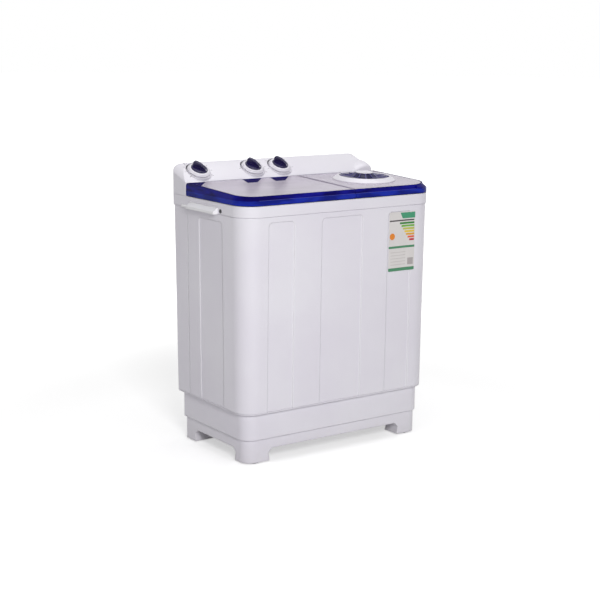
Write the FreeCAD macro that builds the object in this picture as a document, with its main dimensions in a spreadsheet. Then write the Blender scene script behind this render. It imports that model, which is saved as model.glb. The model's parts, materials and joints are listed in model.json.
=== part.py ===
"""Twin tub washer: a wash tub and a spin basket side by side in one plastic cabinet.

X runs to the right seen from the front, Y to the back and Z up, in millimetres.
The origin is on the floor, in the middle of the machine's plan.
"""
import FreeCAD, Part
import Sketcher
import math
import os
from types import SimpleNamespace

from FreeCAD import Placement, Rotation, Vector

document = FreeCAD.newDocument("TwinTubWasher")

# ---------------------------------------------------------------- driving dimensions
DIMENSIONS = {
    # outline of the machine
    "overall_width": 750, "overall_depth": 428, "overall_height": 920,
    "front_radius": 65, "rear_radius": 12,
    # heights of the mouldings: the base up from the floor, the rest down from the top
    "pad_height": 5, "skirt_height": 45, "step_height": 80, "base_height": 166,
    "base_plate": 4, "console_height": 97, "rim_height": 35,
    # insets of one moulding behind the one above it
    "cabinet_inset": 2.6, "cabinet_draft": 5.6, "base_inset": 13.5, "base_step": 6,
    "flange_inset": 1, "base_wall": 4, "cabinet_wall": 5, "foot_width": 84, "foot_depth": 62,
    "foot_taper": 9, "foot_fillet": 14, "pad_radius": 22, "pad_inset": 44,
    # formed panels of the cabinet, from its edges
    "panel_drop": 18, "panel_depth": 2.5, "panel_corner": 14, "centre_panel": 160,
    "outer_panel": 96, "outer_panel_inset": 142, "side_front_inset": 128,
    "side_rear_inset": 162, "side_panel_drop": 24, "joint_line_inset": 93,
    "joint_line_width": 4, "joint_line_depth": 1.5,
    # back cover
    "cover_side": 113, "cover_rise": 66, "cover_drop": 76, "cover_sheet": 2.2,
    "cover_lap": 14, "cover_corner": 10, "louvre_length": 120, "louvre_height": 5,
    "louvre_pitch": 16, "louvre_place": 130, "louvre_rise": 64,
    # top frame and deck
    "rim_wall": 10, "deck_drop": 8, "deck_sheet": 6, "rim_ledge": 12, "deck_rear_inset": 93,
    # wash tub, from the machine's sides
    "wash_side": 34, "wash_front": 26, "wash_rear": 106, "tub_gap": 62,
    "wash_radius": 66, "wash_draft": 9, "wash_wall": 3, "well_depth": 16,
    "well_gap": 8, "well_lift": 4, "tub_flange": 8, "tub_flange_thickness": 5,
    # spin tub and basket
    "spin_side": 32, "spin_front": 41, "spin_rear": 125, "spin_wall": 3, "spin_floor_rise": 94,
    "spin_sump": 26, "basket_gap": 12, "basket_wall": 2, "basket_lift": 28, "basket_drop": 35,
    "basket_hole": 3.5, "basket_corner": 16, "hub_top_radius": 40, "hub_rise": 26,
    "hole_low": 60, "hole_margin": 52, "balance_height": 24, "balance_width": 15,
    # shafts
    "shaft_radius": 6, "shaft_clearance": 0.05, "seal_radius": 14, "motor_shaft": 5,
    "belt_drop": 86, "shaft_socket": 22,
    # pulsator
    "pulsator_side": 14, "pulsator_gap": 4, "pulsator_sheet": 4, "pulsator_dish": 14,
    "vane_height": 16, "vane_width": 9, "hub_radius": 34,
    # drive
    "seal_neck": 3, "cap_radius": 10, "pulley_hub": 15, "leg_radius": 8,
    "motor_drop": 130, "gearbox_radius": 58, "gearbox_height": 46, "gearbox_flange": 76,
    "gearbox_flange_height": 7, "large_pulley": 88, "small_pulley": 21, "pulley_height": 14,
    "groove_depth": 7, "pulley_web": 4, "belt_clearance": 0.4, "belt_height": 8,
    "motor_across": 181, "motor_behind": 102, "wash_motor_radius": 58, "wash_motor_height": 108,
    "spin_motor_radius": 60, "spin_motor_height": 96, "end_bell": 16, "bell_inset": 9,
    "spring_height": 46, "spring_radius": 15, "spring_circle": 62, "motor_plate_rim": 22,
    "mount_plate": 5, "brake_radius": 54, "brake_height": 20, "brake_wall": 4,
    "coupling_radius": 15, "coupling_height": 24, "coupling_gap": 9,
    "boot_fold": 5, "boot_neck": 12, "boot_clearance": 0.4, "pivot_radius": 4,
    "pivot_place": 76, "lever_rise": 28, "lever_height": 12, "shoe_gap": 3,
    "shoe_thickness": 6, "shoe_angle": 55, "shoe_span": 50, "lever_arm": 9, "lever_hub": 5,
    # lids, up from the rim and in from the machine's sides
    "lid_gap": 2, "seam_inset": 32, "lid_wall": 3.4, "lid_lift": 2, "lid_front_height": 28,
    "hinge_inset": 100, "hinge_rise": 31, "hinge_back": 10, "tier_rise": 15,
    "tier_depth": 6, "tier_inset": 57, "tier_corner": 91, "panel_seat": 1.6, "panel_margin": 8,
    "panel_sheet": 2, "panel_clearance": 0.4, "knuckle_radius": 6,
    "ear_width": 8, "pin_radius": 2.5, "pin_clearance": 0.1, "knuckle_width": 9,
    "knuckle_gap": 0.6, "notch_front": 76, "notch_left": 100, "notch_width": 37,
    "notch_rear": 74, "notch_right": 1, "panel_front": 10, "panel_rear": 14,
    "wash_panel_corner": 58, "spin_panel_corner": 83, "corner_cut_x": 56, "corner_cut_y": 66,
    "heel": 3, "slot_start": 1.5, "ear_side": 45, "ear_seam": 61,
    # spin window
    "ring_gap": 26, "ring_width": 17, "ring_height": 8, "ring_wall": 4, "ring_clearance": 0.3,
    "window_sheet": 2.5, "window_dish": 7, "window_rib": 3, "window_flat": 30, "ring_lap": 6,
    # console
    "console_depth": 85.5, "console_edge_rise": 43, "console_wall": 3, "console_back_radius": 8,
    "console_end_slope": 28, "console_run": 40, "console_drop": 24, "console_bevel": 9,
    "swell_start": 68, "swell_full": 32, "swell_shoulder": 9, "swell_face": 12,
    "swell_corner": 19.5, "swell_corner_depth": 5.5, "swell_corner_radius": 12,
    "swell_crest": 32.5, "swell_crest_depth": 49.5, "swell_crown": 95, "swell_back": 35,
    "dial_sink": 12, "dial_proud": 1.8, "dial_rim": 1.5, "lobe_proud": 3.2, "lobe_drop": 6,
    "lobe_width": 86, "lobe_shift": 22, "end_lobe_inset": 37, "end_lobe_width": 73,
    "end_lobe_drop": 11,
    # knobs
    "knob_tilt": 29, "knob_inset": 48.5, "knob_drop": 26.5, "knob_left_inset": 71,
    "knob_middle_inset": 279, "knob_right_inset": 387, "knob_turn": 36, "dial_radius": 43,
    "dial_groove": 2, "dial_depth": 1.4, "skirt_radius": 38, "skirt_inner": 22,
    "skirt_rise": 9, "knob_gap": 1.2, "grip_radius": 28, "grip_rise": 13, "grip_bar": 11,
    "grip_bar_rise": 28, "skirt_round": 4, "grip_crown": 48,
    # grips
    "handle_front_inset": 148, "handle_rear_inset": 114, "handle_drop": 15, "handle_height": 21,
    "handle_lip": 8, "handle_sheet": 3, "handle_proud": 17, "handle_tail": 48,
    "tail_proud": 5, "tail_height": 10,
    # pipes and the drain link
    "link_radius": 3, "link_gap": 4, "valve_inset": 46, "pipe_bore": 12, "pipe_wall": 2.5,
    "wash_port_inset": 46, "spin_port_place": 62, "port_step": 6, "pipe_drop": 28,
    "pipe_bend": 22, "outlet_rise": 45, "port_clearance": 0.7, "valve_below": 30,
    "valve_above": 24, "valve_half": 21, "valve_bore": 17, "valve_seat": 10,
    "plug_radius": 14, "stem_clearance": 0.4, "link_rise": 23,
    # fittings
    "filter_place": 54, "filter_width": 62, "filter_drop": 103, "filter_height": 120,
    "filter_thick": 14, "grille_place": 61, "grille_width": 60, "grille_drop": 59,
    "grille_height": 64, "grille_sheet": 3, "gland_inset": 125, "gland_neck": 7,
    "gland_proud": 5, "cord_radius": 3.6, "capacitor_radius": 20, "capacitor_height": 62,
    "capacitor_place": 102, "capacitor_inset": 79, "screw_head": 3.6, "screw_proud": 0.9,
    "screw_inset": 22, "rim_screw_inset": 132, "rim_screw_rise": 10,
    "boss_depth": 12, "boss_radius": 10, "timer_radius": 21, "timer_depth": 20,
    "selector_radius": 15, "selector_depth": 16, "inlet_inset": 185, "inlet_half": 42,
    "inlet_drop": 28, "inlet_height": 34, "inlet_depth": 16, "inlet_pitch": 40,
    "inlet_radius": 9, "spindle_radius": 3, "spindle_clearance": 0.3, "spindle_length": 26,
}


class Size:
    """A number that keeps the spreadsheet formula it comes from."""

    def __init__(self, value, formula):
        self.value = float(value)
        self.formula = formula

    @staticmethod
    def of(item):
        return item if isinstance(item, Size) else Size(item, repr(float(item)))

    def joined(self, other, sign, value):
        return Size(value, f"({self.formula} {sign} {Size.of(other).formula})")

    def __add__(self, other):
        return self.joined(other, "+", self.value + Size.of(other).value)

    def __sub__(self, other):
        return self.joined(other, "-", self.value - Size.of(other).value)

    def __mul__(self, other):
        return self.joined(other, "*", self.value * Size.of(other).value)

    def __truediv__(self, other):
        return self.joined(other, "/", self.value / Size.of(other).value)

    def __radd__(self, other):
        return Size.of(other) + self

    def __rsub__(self, other):
        return Size.of(other) - self

    def __rmul__(self, other):
        return Size.of(other) * self

    def __rtruediv__(self, other):
        return Size.of(other) / self

    def __neg__(self):
        return Size(-self.value, f"(-1 * {self.formula})")


def sine(angle):
    angle = Size.of(angle)
    return Size(math.sin(math.radians(angle.value)), f"sin({angle.formula})")


def cosine(angle):
    angle = Size.of(angle)
    return Size(math.cos(math.radians(angle.value)), f"cos({angle.formula})")


def least(first, second):
    value = min(first.value, second.value)
    return Size(value, f"min({first.formula}; {second.formula})")


def root(item):
    item = Size.of(item)
    return Size(math.sqrt(item.value), f"sqrt({item.formula})")


def slope(rise, run):
    """The angle in degrees of a line that climbs rise over run."""
    ratio = Size.of(rise) / run
    return Size(math.degrees(math.atan(ratio.value)), f"(atan({ratio.formula}) / 1 deg)")


def make_sheet():
    sheet = document.addObject("Spreadsheet::Sheet", "Sizes")
    sizes = SimpleNamespace()
    for row, (name, value) in enumerate(DIMENSIONS.items(), start=1):
        sheet.set(f"A{row}", name)
        sheet.set(f"B{row}", str(value))
        sheet.setAlias(f"B{row}", name)
        setattr(sizes, name, Size(value, f"Sizes.{name}"))
    document.recompute()
    return sizes


s = make_sheet()
nodes = []


# ---------------------------------------------------------------- modelling helpers
def bind(item, name, value):
    """Give a property its value, with its formula where it has one."""
    if isinstance(value, Size):
        item.setExpression(name, value.formula)
    else:
        setattr(item, name, value)


def node(item, label):
    """Name a finished sub-part and keep it for export."""
    item.Label = label
    nodes.append(item)
    return item


def body_of(name):
    return document.addObject("PartDesign::Body", name)


def sketch_on(body, plane, shift=(0, 0, 0), tilt=None):
    """A sketch on an origin plane, shifted in the plane's own axes and tilted about its X."""
    sketch = body.newObject("Sketcher::SketchObject", "Sketch")
    origin_plane = [face for face in body.Origin.OriginFeatures if face.Role == plane][0]
    sketch.AttachmentSupport = [(origin_plane, "")]
    sketch.MapMode = "FlatFace"
    start = [Size.of(part) for part in shift]
    turn = Rotation(Vector(1, 0, 0), tilt.value) if tilt is not None else Rotation()
    sketch.AttachmentOffset = Placement(Vector(*(part.value for part in start)), turn)
    for axis, part in zip("xyz", shift):
        if isinstance(part, Size):
            sketch.setExpression(f"AttachmentOffset.Base.{axis}", part.formula)
    if tilt is not None:
        sketch.setExpression("AttachmentOffset.Rotation.Angle", tilt.formula)
    return sketch


def pin_point(sketch, geometry, end, place):
    """Fix one point of a sketch at a place measured from the sketch's origin."""
    for kind, axis, part in (("DistanceX", -2, place[0]), ("DistanceY", -1, place[1])):
        if isinstance(part, Size):
            index = sketch.addConstraint(Sketcher.Constraint(kind, -1, 1, geometry, end, part.value))
            sketch.setExpression(f"Constraints[{index}]", part.formula)
        elif part == 0:
            sketch.addConstraint(Sketcher.Constraint("PointOnObject", geometry, end, axis))
        else:
            sketch.addConstraint(Sketcher.Constraint(kind, -1, 1, geometry, end, part))


def add_run(sketch, start, end, radius=None):
    """Add a line, or an arc that bulges to the right of the way for a positive radius.

    Returns the new piece's index and its numbers for the start and the end point."""
    first, last = (Vector(Size.of(p[0]).value, Size.of(p[1]).value, 0) for p in (start, end))
    if radius is None:
        return sketch.addGeometry(Part.LineSegment(first, last), False), 1, 2
    radius = Size.of(radius)
    chord = last - first
    side = Vector(chord.y, -chord.x, 0) * (1 if radius.value > 0 else -1)
    side.normalize()
    reach = abs(radius.value)
    rise = reach - math.sqrt(max(reach ** 2 - (chord.Length / 2) ** 2, 0))
    middle = (first + last) * 0.5 + side * rise
    if radius.value > 0:
        index, numbers = sketch.addGeometry(Part.Arc(first, middle, last), False), (1, 2)
    else:
        index, numbers = sketch.addGeometry(Part.Arc(last, middle, first), False), (2, 1)
        radius = -radius
    constraint = sketch.addConstraint(Sketcher.Constraint("Radius", index, radius.value))
    sketch.setExpression(f"Constraints[{constraint}]", radius.formula)
    return index, *numbers


def draw(sketch, *points):
    """A closed outline. A point may name the radius of an arc to the next point, positive
    where the arc bulges to the right of the way round, which is outwards anticlockwise."""
    count = len(points)
    runs = [add_run(sketch, point, points[(index + 1) % count], *point[2:])
            for index, point in enumerate(points)]
    for index, (here, start, end) in enumerate(runs):
        there, following, _ = runs[(index + 1) % count]
        sketch.addConstraint(Sketcher.Constraint("Coincident", here, end, there, following))
        pin_point(sketch, here, start, points[index][:2])
    return sketch


def draw_path(sketch, *points):
    """An open path of lines and arcs, given as for draw."""
    before = None
    for index, (start, end) in enumerate(zip(points, points[1:])):
        here, first, last = add_run(sketch, start, end, *start[2:])
        if before is None:
            pin_point(sketch, here, first, start[:2])
        else:
            sketch.addConstraint(Sketcher.Constraint("Coincident", *before, here, first))
        pin_point(sketch, here, last, end[:2])
        before = (here, last)
    return sketch


def ring_of(sketch, radius, x=0, y=0):
    """A circle in a sketch."""
    radius = Size.of(radius)
    centre = Vector(Size.of(x).value, Size.of(y).value, 0)
    index = sketch.addGeometry(Part.Circle(centre, Vector(0, 0, 1), radius.value), False)
    pin_point(sketch, index, 3, (x, y))
    constraint = sketch.addConstraint(Sketcher.Constraint("Radius", index, radius.value))
    sketch.setExpression(f"Constraints[{constraint}]", radius.formula)
    return sketch


def plan(sketch, left, right, front, rear, front_left=None, front_right=None,
         rear_left=None, rear_right=None):
    """A rectangle in plan whose corners are round where a radius is given."""
    corners = ((left, front, front_left, 1, 1), (right, front, front_right, -1, 1),
               (right, rear, rear_right, -1, -1), (left, rear, rear_left, 1, -1))
    points = []
    for index, (x, y, radius, inward, onward) in enumerate(corners):
        if radius is None:
            points.append((x, y))
            continue
        along_x = (x + inward * Size.of(radius), y)
        along_y = (x, y + onward * Size.of(radius))
        pair = (along_y, along_x) if index in (0, 2) else (along_x, along_y)
        points.append((*pair[0], radius))
        points.append(pair[1])
    return draw(sketch, *points)


def volume(body):
    shape = body.Shape
    return 0 if shape.isNull() else shape.Volume


def shape_with(body, kind, profile, **settings):
    """Add one PartDesign feature and check that it changed the solid the right way."""
    before = volume(body)
    item = body.newObject("PartDesign::" + kind, kind)
    item.Profile = profile
    for name, value in settings.items():
        bind(item, name, value)
    document.recompute()
    change = volume(body) - before
    grows = kind in ("Pad", "Revolution", "AdditiveLoft", "AdditivePipe")
    if (change > 0) != grows or abs(change) < 1e-6:
        raise ValueError(f"{body.Label}: {kind} changed the volume by {change:.3f}")
    return item


def pad(body, profile, length, back=False):
    return shape_with(body, "Pad", profile, Length=length, Reversed=back)


def pocket(body, profile, length=None, back=False):
    """Cut a profile, down its plane's normal, or up it where back is set."""
    if length is None:
        return shape_with(body, "Pocket", profile, Type="ThroughAll", Reversed=back)
    return shape_with(body, "Pocket", profile, Length=length, Reversed=back)


def repeat_along(body, feature, sketch, axis, length, count):
    pattern = body.newObject("PartDesign::LinearPattern", "Row")
    pattern.Originals = [feature]
    pattern.Direction = (sketch, [axis])
    bind(pattern, "Length", length)
    pattern.Occurrences = count
    body.Tip = pattern
    document.recompute()
    return pattern


def turned(name, *points):
    """A body turned about its own Z axis, from points that are radius and height."""
    body = body_of(name)
    sketch = draw(sketch_on(body, "XZ_Plane"), *points)
    shape_with(body, "Revolution", sketch, ReferenceAxis=(sketch, ["V_Axis"]), Angle=360)
    return body


def rod(name, radius, low, high):
    return turned(name, (0, low), (radius, low), (radius, high), (0, high))


def place(item, x=0, y=0, z=0, tilt=None):
    """Stand a sub-part at its place, tilted back about X where an angle is given."""
    turn = Rotation(Vector(1, 0, 0), tilt.value) if tilt is not None else Rotation()
    item.Placement = Placement(Vector(*(Size.of(part).value for part in (x, y, z))), turn)
    for axis, part in zip("xyz", (x, y, z)):
        if isinstance(part, Size):
            item.setExpression(f"Placement.Base.{axis}", part.formula)
    if tilt is not None:
        item.setExpression("Placement.Rotation.Angle", tilt.formula)
    document.recompute()
    return item


def boolean(kind, base, tool):
    item = document.addObject("Part::" + kind, kind)
    item.Base = base
    item.Tool = tool
    document.recompute()
    return item


def group(label, members):
    item = document.addObject("Part::Compound", "Group")
    item.Links = members
    document.recompute()
    return node(item, label)


# ---------------------------------------------------------------- shared measures
flush = Size.of(0)
half_width = s.overall_width / 2
half_depth = s.overall_depth / 2

# heights that follow the top of the machine
s.rim_top = s.overall_height - s.console_height
s.cabinet_top = s.rim_top - s.rim_height
s.deck_top = s.rim_top - s.deck_drop
s.deck_under = s.deck_top - s.deck_sheet
s.panel_top = s.cabinet_top - s.panel_drop
s.side_panel_top = s.cabinet_top - s.side_panel_drop
s.cover_top = s.cabinet_top - s.cover_drop
s.basket_top = s.rim_top - s.basket_drop
s.lid_base = s.rim_top + s.lid_lift
s.lid_front_top = s.lid_base + s.lid_front_height
s.hinge_z = s.lid_base + s.hinge_rise
s.front_tier = s.lid_base + s.tier_rise
s.console_edge = s.rim_top + s.console_edge_rise
s.lobe_low = s.console_edge - s.lobe_drop
s.end_lobe_low = s.console_edge - s.end_lobe_drop
s.knob_z = s.overall_height - s.knob_drop
s.inlet_high = s.overall_height - s.inlet_drop
s.inlet_low = s.inlet_high - s.inlet_height
s.handle_high = s.rim_top - s.handle_drop
s.handle_low = s.handle_high - s.handle_height
s.link_top = s.rim_top + s.link_rise
s.filter_high = s.rim_top - s.filter_drop
s.filter_low = s.filter_high - s.filter_height
s.grille_high = s.rim_top - s.grille_drop
s.grille_low = s.grille_high - s.grille_height
s.rim_screw_z = s.cabinet_top + s.rim_screw_rise

# heights that follow the top of the base: the drives stand on it, and the tubs on the drives
cabinet_bottom = s.base_height + s.base_plate
s.spin_motor_top = cabinet_bottom + s.spring_height + s.mount_plate + s.spin_motor_height
s.coupling_low = s.spin_motor_top + s.coupling_gap
s.lever_level = s.coupling_low + s.lever_rise
s.spin_floor = s.coupling_low + s.spin_floor_rise
s.basket_floor = s.spin_floor + s.basket_lift
s.well_floor = s.spin_floor + s.well_lift
s.wash_floor = s.well_floor + s.well_depth
s.gearbox_top = s.well_floor - s.seal_neck
s.belt_level = s.gearbox_top - s.belt_drop
s.wash_motor_low = s.belt_level - s.motor_drop
s.pipe_level = s.spin_floor - s.pipe_drop
s.valve_low = s.pipe_level - s.valve_below
s.valve_high = s.pipe_level + s.valve_above
s.outlet_level = cabinet_bottom + s.outlet_rise
s.cover_bottom = cabinet_bottom + s.cover_rise
s.louvre_low = s.cover_bottom + s.louvre_rise

# places that follow the depth
s.hinge_y = half_depth - s.hinge_inset
s.deck_rear = half_depth - s.deck_rear_inset
s.console_front = half_depth - s.console_depth
s.knob_y = half_depth - s.knob_inset
s.valve_y = half_depth - s.valve_inset
s.capacitor_y = half_depth - s.capacitor_inset
s.handle_front = s.handle_front_inset - half_depth
s.handle_rear = half_depth - s.handle_rear_inset
s.rim_screw_y = s.rim_screw_inset - half_depth
s.side_panel_front = s.side_front_inset - half_depth
s.side_panel_rear = half_depth - s.side_rear_inset
s.joint_line_place = half_depth - s.joint_line_inset

# the spin side fills the depth, and the wash tub the width that is left
s.spin_radius = half_depth - (s.spin_front + s.spin_rear) / 2
s.spin_x = half_width - s.spin_side - s.spin_radius
s.spin_y = (s.spin_front - s.spin_rear) / 2
s.basket_radius = s.spin_radius - s.basket_gap
s.ring_radius = s.spin_radius - s.ring_gap
s.ring_crest = s.ring_radius - s.ring_width
s.window_hole = s.ring_crest - s.ring_wall
s.wash_half_x = (half_width - s.wash_side + s.spin_x - s.spin_radius - s.tub_gap) / 2
s.wash_half_y = half_depth - (s.wash_front + s.wash_rear) / 2
s.wash_x = s.wash_side - half_width + s.wash_half_x
s.wash_y = (s.wash_front - s.wash_rear) / 2
s.well_radius = least(s.wash_half_x, s.wash_half_y) - s.well_gap
s.pulsator_radius = least(s.wash_half_x, s.wash_half_y) - s.pulsator_side
s.wash_port_y = s.wash_y + s.wash_half_y - s.wash_port_inset
s.filter_x = s.wash_x - s.filter_place
s.grille_x = s.wash_x + s.grille_place
s.motor_x = s.wash_x + s.motor_across
s.motor_y = s.wash_y + s.motor_behind
s.capacitor_x = s.spin_x - s.capacitor_place

# places that follow the width
s.seam_x = s.spin_x - s.spin_radius - s.seam_inset
s.wash_ear_left = s.ear_side - half_width
s.wash_ear_right = s.seam_x - s.ear_seam
s.spin_ear_left = s.seam_x + s.ear_seam
s.spin_ear_right = half_width - s.ear_side
s.knob_left = s.knob_left_inset - half_width
s.knob_middle = s.knob_middle_inset - half_width
s.knob_right = s.knob_right_inset - half_width
s.inlet_x = s.inlet_inset - half_width
s.gland_x = half_width - s.gland_inset
s.cover_half_width = half_width - s.cover_side
s.outer_panel_place = half_width - s.outer_panel_inset
s.end_lobe_place = half_width - s.end_lobe_inset
s.tier_side = half_width - s.tier_inset

# the drafted cabinet and the stepped base
cabinet_half_x = half_width - s.cabinet_inset
cabinet_half_y = half_depth - s.cabinet_inset
cabinet_low_x = cabinet_half_x - s.cabinet_draft
cabinet_low_y = cabinet_half_y - s.cabinet_draft
cabinet_radius = s.front_radius - s.cabinet_inset
cabinet_low_radius = cabinet_radius - s.cabinet_draft
draft_angle = slope(s.cabinet_draft, s.cabinet_top - cabinet_bottom)
base_half_x = cabinet_low_x - s.base_inset
base_half_y = cabinet_low_y - s.base_inset
base_radius = cabinet_low_radius - s.base_inset
foot_half_x = base_half_x - s.base_step
foot_half_y = base_half_y - s.base_step
foot_radius = base_radius - s.base_step


def machine_plan(sketch, half_x, half_y, radius, rear_radius):
    return plan(sketch, -half_x, half_x, -half_y, half_y, radius, radius, rear_radius, rear_radius)


# ---------------------------------------------------------------- base
def make_base():
    body = body_of("BaseFrame")
    lower = sketch_on(body, "XY_Plane", (0, 0, s.pad_height))
    machine_plan(lower, foot_half_x, foot_half_y, foot_radius, s.rear_radius)
    pad(body, lower, s.step_height - s.pad_height)
    upper = sketch_on(body, "XY_Plane", (0, 0, s.step_height))
    machine_plan(upper, base_half_x, base_half_y, base_radius, s.rear_radius)
    pad(body, upper, s.base_height - s.step_height)
    flange = sketch_on(body, "XY_Plane", (0, 0, s.base_height))
    machine_plan(flange, cabinet_low_x - s.flange_inset, cabinet_low_y - s.flange_inset,
                 cabinet_low_radius - s.flange_inset, s.rear_radius)
    pad(body, flange, s.base_plate)
    hollow = sketch_on(body, "XY_Plane", (0, 0, s.skirt_height))
    machine_plan(hollow, foot_half_x - s.base_wall, foot_half_y - s.base_wall,
                 foot_radius - s.base_wall, s.rear_radius - s.base_wall)
    pocket(body, hollow, s.base_height - s.skirt_height, back=True)
    for plane, reach, span in (("XZ_Plane", foot_half_x - s.foot_width, foot_half_y),
                               ("YZ_Plane", foot_half_y - s.foot_depth, foot_half_x)):
        low = reach - s.foot_taper / 2
        gap = sketch_on(body, plane, (0, 0, span + 1))
        draw(gap, (-low, 0), (low, 0), (reach, s.skirt_height - s.foot_fillet),
             (reach - s.foot_fillet, s.skirt_height),
             (-reach + s.foot_fillet, s.skirt_height),
             (-reach, s.skirt_height - s.foot_fillet))
        pocket(body, gap, 2 * span + 2)
    return node(body, "base_frame")


def make_foot_pads():
    members = []
    for side in (-1, 1):
        for end in (-1, 1):
            rubber = turned("FootPad", (0, 0), (s.pad_radius - 1, 0), (s.pad_radius, 1),
                            (s.pad_radius, s.pad_height), (0, s.pad_height))
            members.append(place(rubber, side * (foot_half_x - s.pad_inset),
                                 end * (foot_half_y - s.foot_depth / 2), 0))
    return group("foot_pads", members)


# ---------------------------------------------------------------- cabinet
def cabinet_block(name, inset):
    """The drafted cabinet form, drawn in by the thickness of the wall."""
    body = body_of(name)
    low = sketch_on(body, "XY_Plane", (0, 0, cabinet_bottom))
    machine_plan(low, cabinet_low_x - inset, cabinet_low_y - inset,
                 cabinet_low_radius - inset, s.rear_radius - inset)
    top = sketch_on(body, "XY_Plane", (0, 0, s.cabinet_top))
    machine_plan(top, cabinet_half_x - inset, cabinet_half_y - inset,
                 cabinet_radius - inset, s.rear_radius - inset)
    shape_with(body, "AdditiveLoft", low, Sections=[top], Ruled=True)
    return body


def wall_sketch(body, wall):
    """A sketch that lies on a drafted outer wall, level with the cabinet's top edge.

    Its Y axis climbs the wall and is zero at the top edge; its normal points outwards,
    except on the rear and the left wall, where it points into the cabinet."""
    if wall == "front":
        return sketch_on(body, "XZ_Plane", (0, s.cabinet_top, cabinet_half_y), draft_angle)
    if wall == "rear":
        return sketch_on(body, "XZ_Plane", (0, s.cabinet_top, -cabinet_half_y), -draft_angle)
    if wall == "right":
        return sketch_on(body, "YZ_Plane", (0, s.cabinet_top, cabinet_half_x), draft_angle)
    return sketch_on(body, "YZ_Plane", (0, s.cabinet_top, -cabinet_half_x), -draft_angle)


def formed_panel(body, wall, left, right, top):
    """A shallow panel with round top corners, open at the cabinet's bottom edge."""
    fall = cabinet_bottom - s.cabinet_top - 2
    corner = s.panel_corner
    sketch = wall_sketch(body, wall)
    draw(sketch, (left, fall), (right, fall), (right, top - corner, corner),
         (right - corner, top), (left + corner, top, corner), (left, top - corner))
    pocket(body, sketch, s.panel_depth, back=wall == "left")


def make_cabinet():
    body = cabinet_block("Cabinet", 0)
    inner_low = sketch_on(body, "XY_Plane", (0, 0, cabinet_bottom))
    inset = s.cabinet_wall
    machine_plan(inner_low, cabinet_low_x - inset, cabinet_low_y - inset,
                 cabinet_low_radius - inset, s.rear_radius - inset)
    inner_top = sketch_on(body, "XY_Plane", (0, 0, s.cabinet_top))
    machine_plan(inner_top, cabinet_half_x - inset, cabinet_half_y - inset,
                 cabinet_radius - inset, s.rear_radius - inset)
    shape_with(body, "SubtractiveLoft", inner_low, Sections=[inner_top], Ruled=True)
    front_top = s.panel_top - s.cabinet_top
    for place_x, width in ((-s.outer_panel_place, s.outer_panel), (flush, s.centre_panel),
                           (s.outer_panel_place, s.outer_panel)):
        formed_panel(body, "front", place_x - width / 2, place_x + width / 2, front_top)
    side_top = s.side_panel_top - s.cabinet_top
    for wall in ("left", "right"):
        formed_panel(body, wall, s.side_panel_front, s.side_panel_rear, side_top)
        line = wall_sketch(body, wall)
        low, near = cabinet_bottom - s.cabinet_top - 2, s.joint_line_place
        draw(line, (near, low), (near + s.joint_line_width, low),
             (near + s.joint_line_width, side_top), (near, side_top))
        pocket(body, line, s.joint_line_depth, back=wall == "left")
    opening = wall_sketch(body, "rear")
    reach, corner = s.cover_half_width - s.cover_lap, s.cover_corner
    plan(opening, -reach, reach, s.cover_bottom + s.cover_lap - s.cabinet_top,
         s.cover_top - s.cover_lap - s.cabinet_top, corner, corner, corner, corner)
    pocket(body, opening, 2 * s.cabinet_wall, back=True)
    for radius, place_x in ((s.pipe_bore + s.pipe_wall + s.port_clearance, s.knob_middle),
                            (s.gland_neck + s.port_clearance, s.gland_x)):
        port = sketch_on(body, "XZ_Plane", (0, 0, -half_depth + 6 * s.cabinet_wall))
        ring_of(port, radius, place_x, s.outlet_level)
        pocket(body, port, 6 * s.cabinet_wall)
    return node(body, "cabinet")


def make_back_cover():
    body = body_of("BackCover")
    sheet = wall_sketch(body, "rear")
    reach, corner = s.cover_half_width, s.cover_corner
    plan(sheet, -reach, reach, s.cover_bottom - s.cabinet_top,
         s.cover_top - s.cabinet_top, corner, corner, corner, corner)
    pad(body, sheet, s.cover_sheet, back=True)
    for side in (-1, 1):
        slot = wall_sketch(body, "rear")
        middle = side * s.louvre_place
        low = s.louvre_low - s.cabinet_top
        plan(slot, middle - s.louvre_length / 2, middle + s.louvre_length / 2,
             low, low + s.louvre_height)
        cut = pocket(body, slot, 2 * s.cover_sheet)
        repeat_along(body, cut, slot, "V_Axis", 7 * s.louvre_pitch, 8)
    return node(body, "back_cover")


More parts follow.
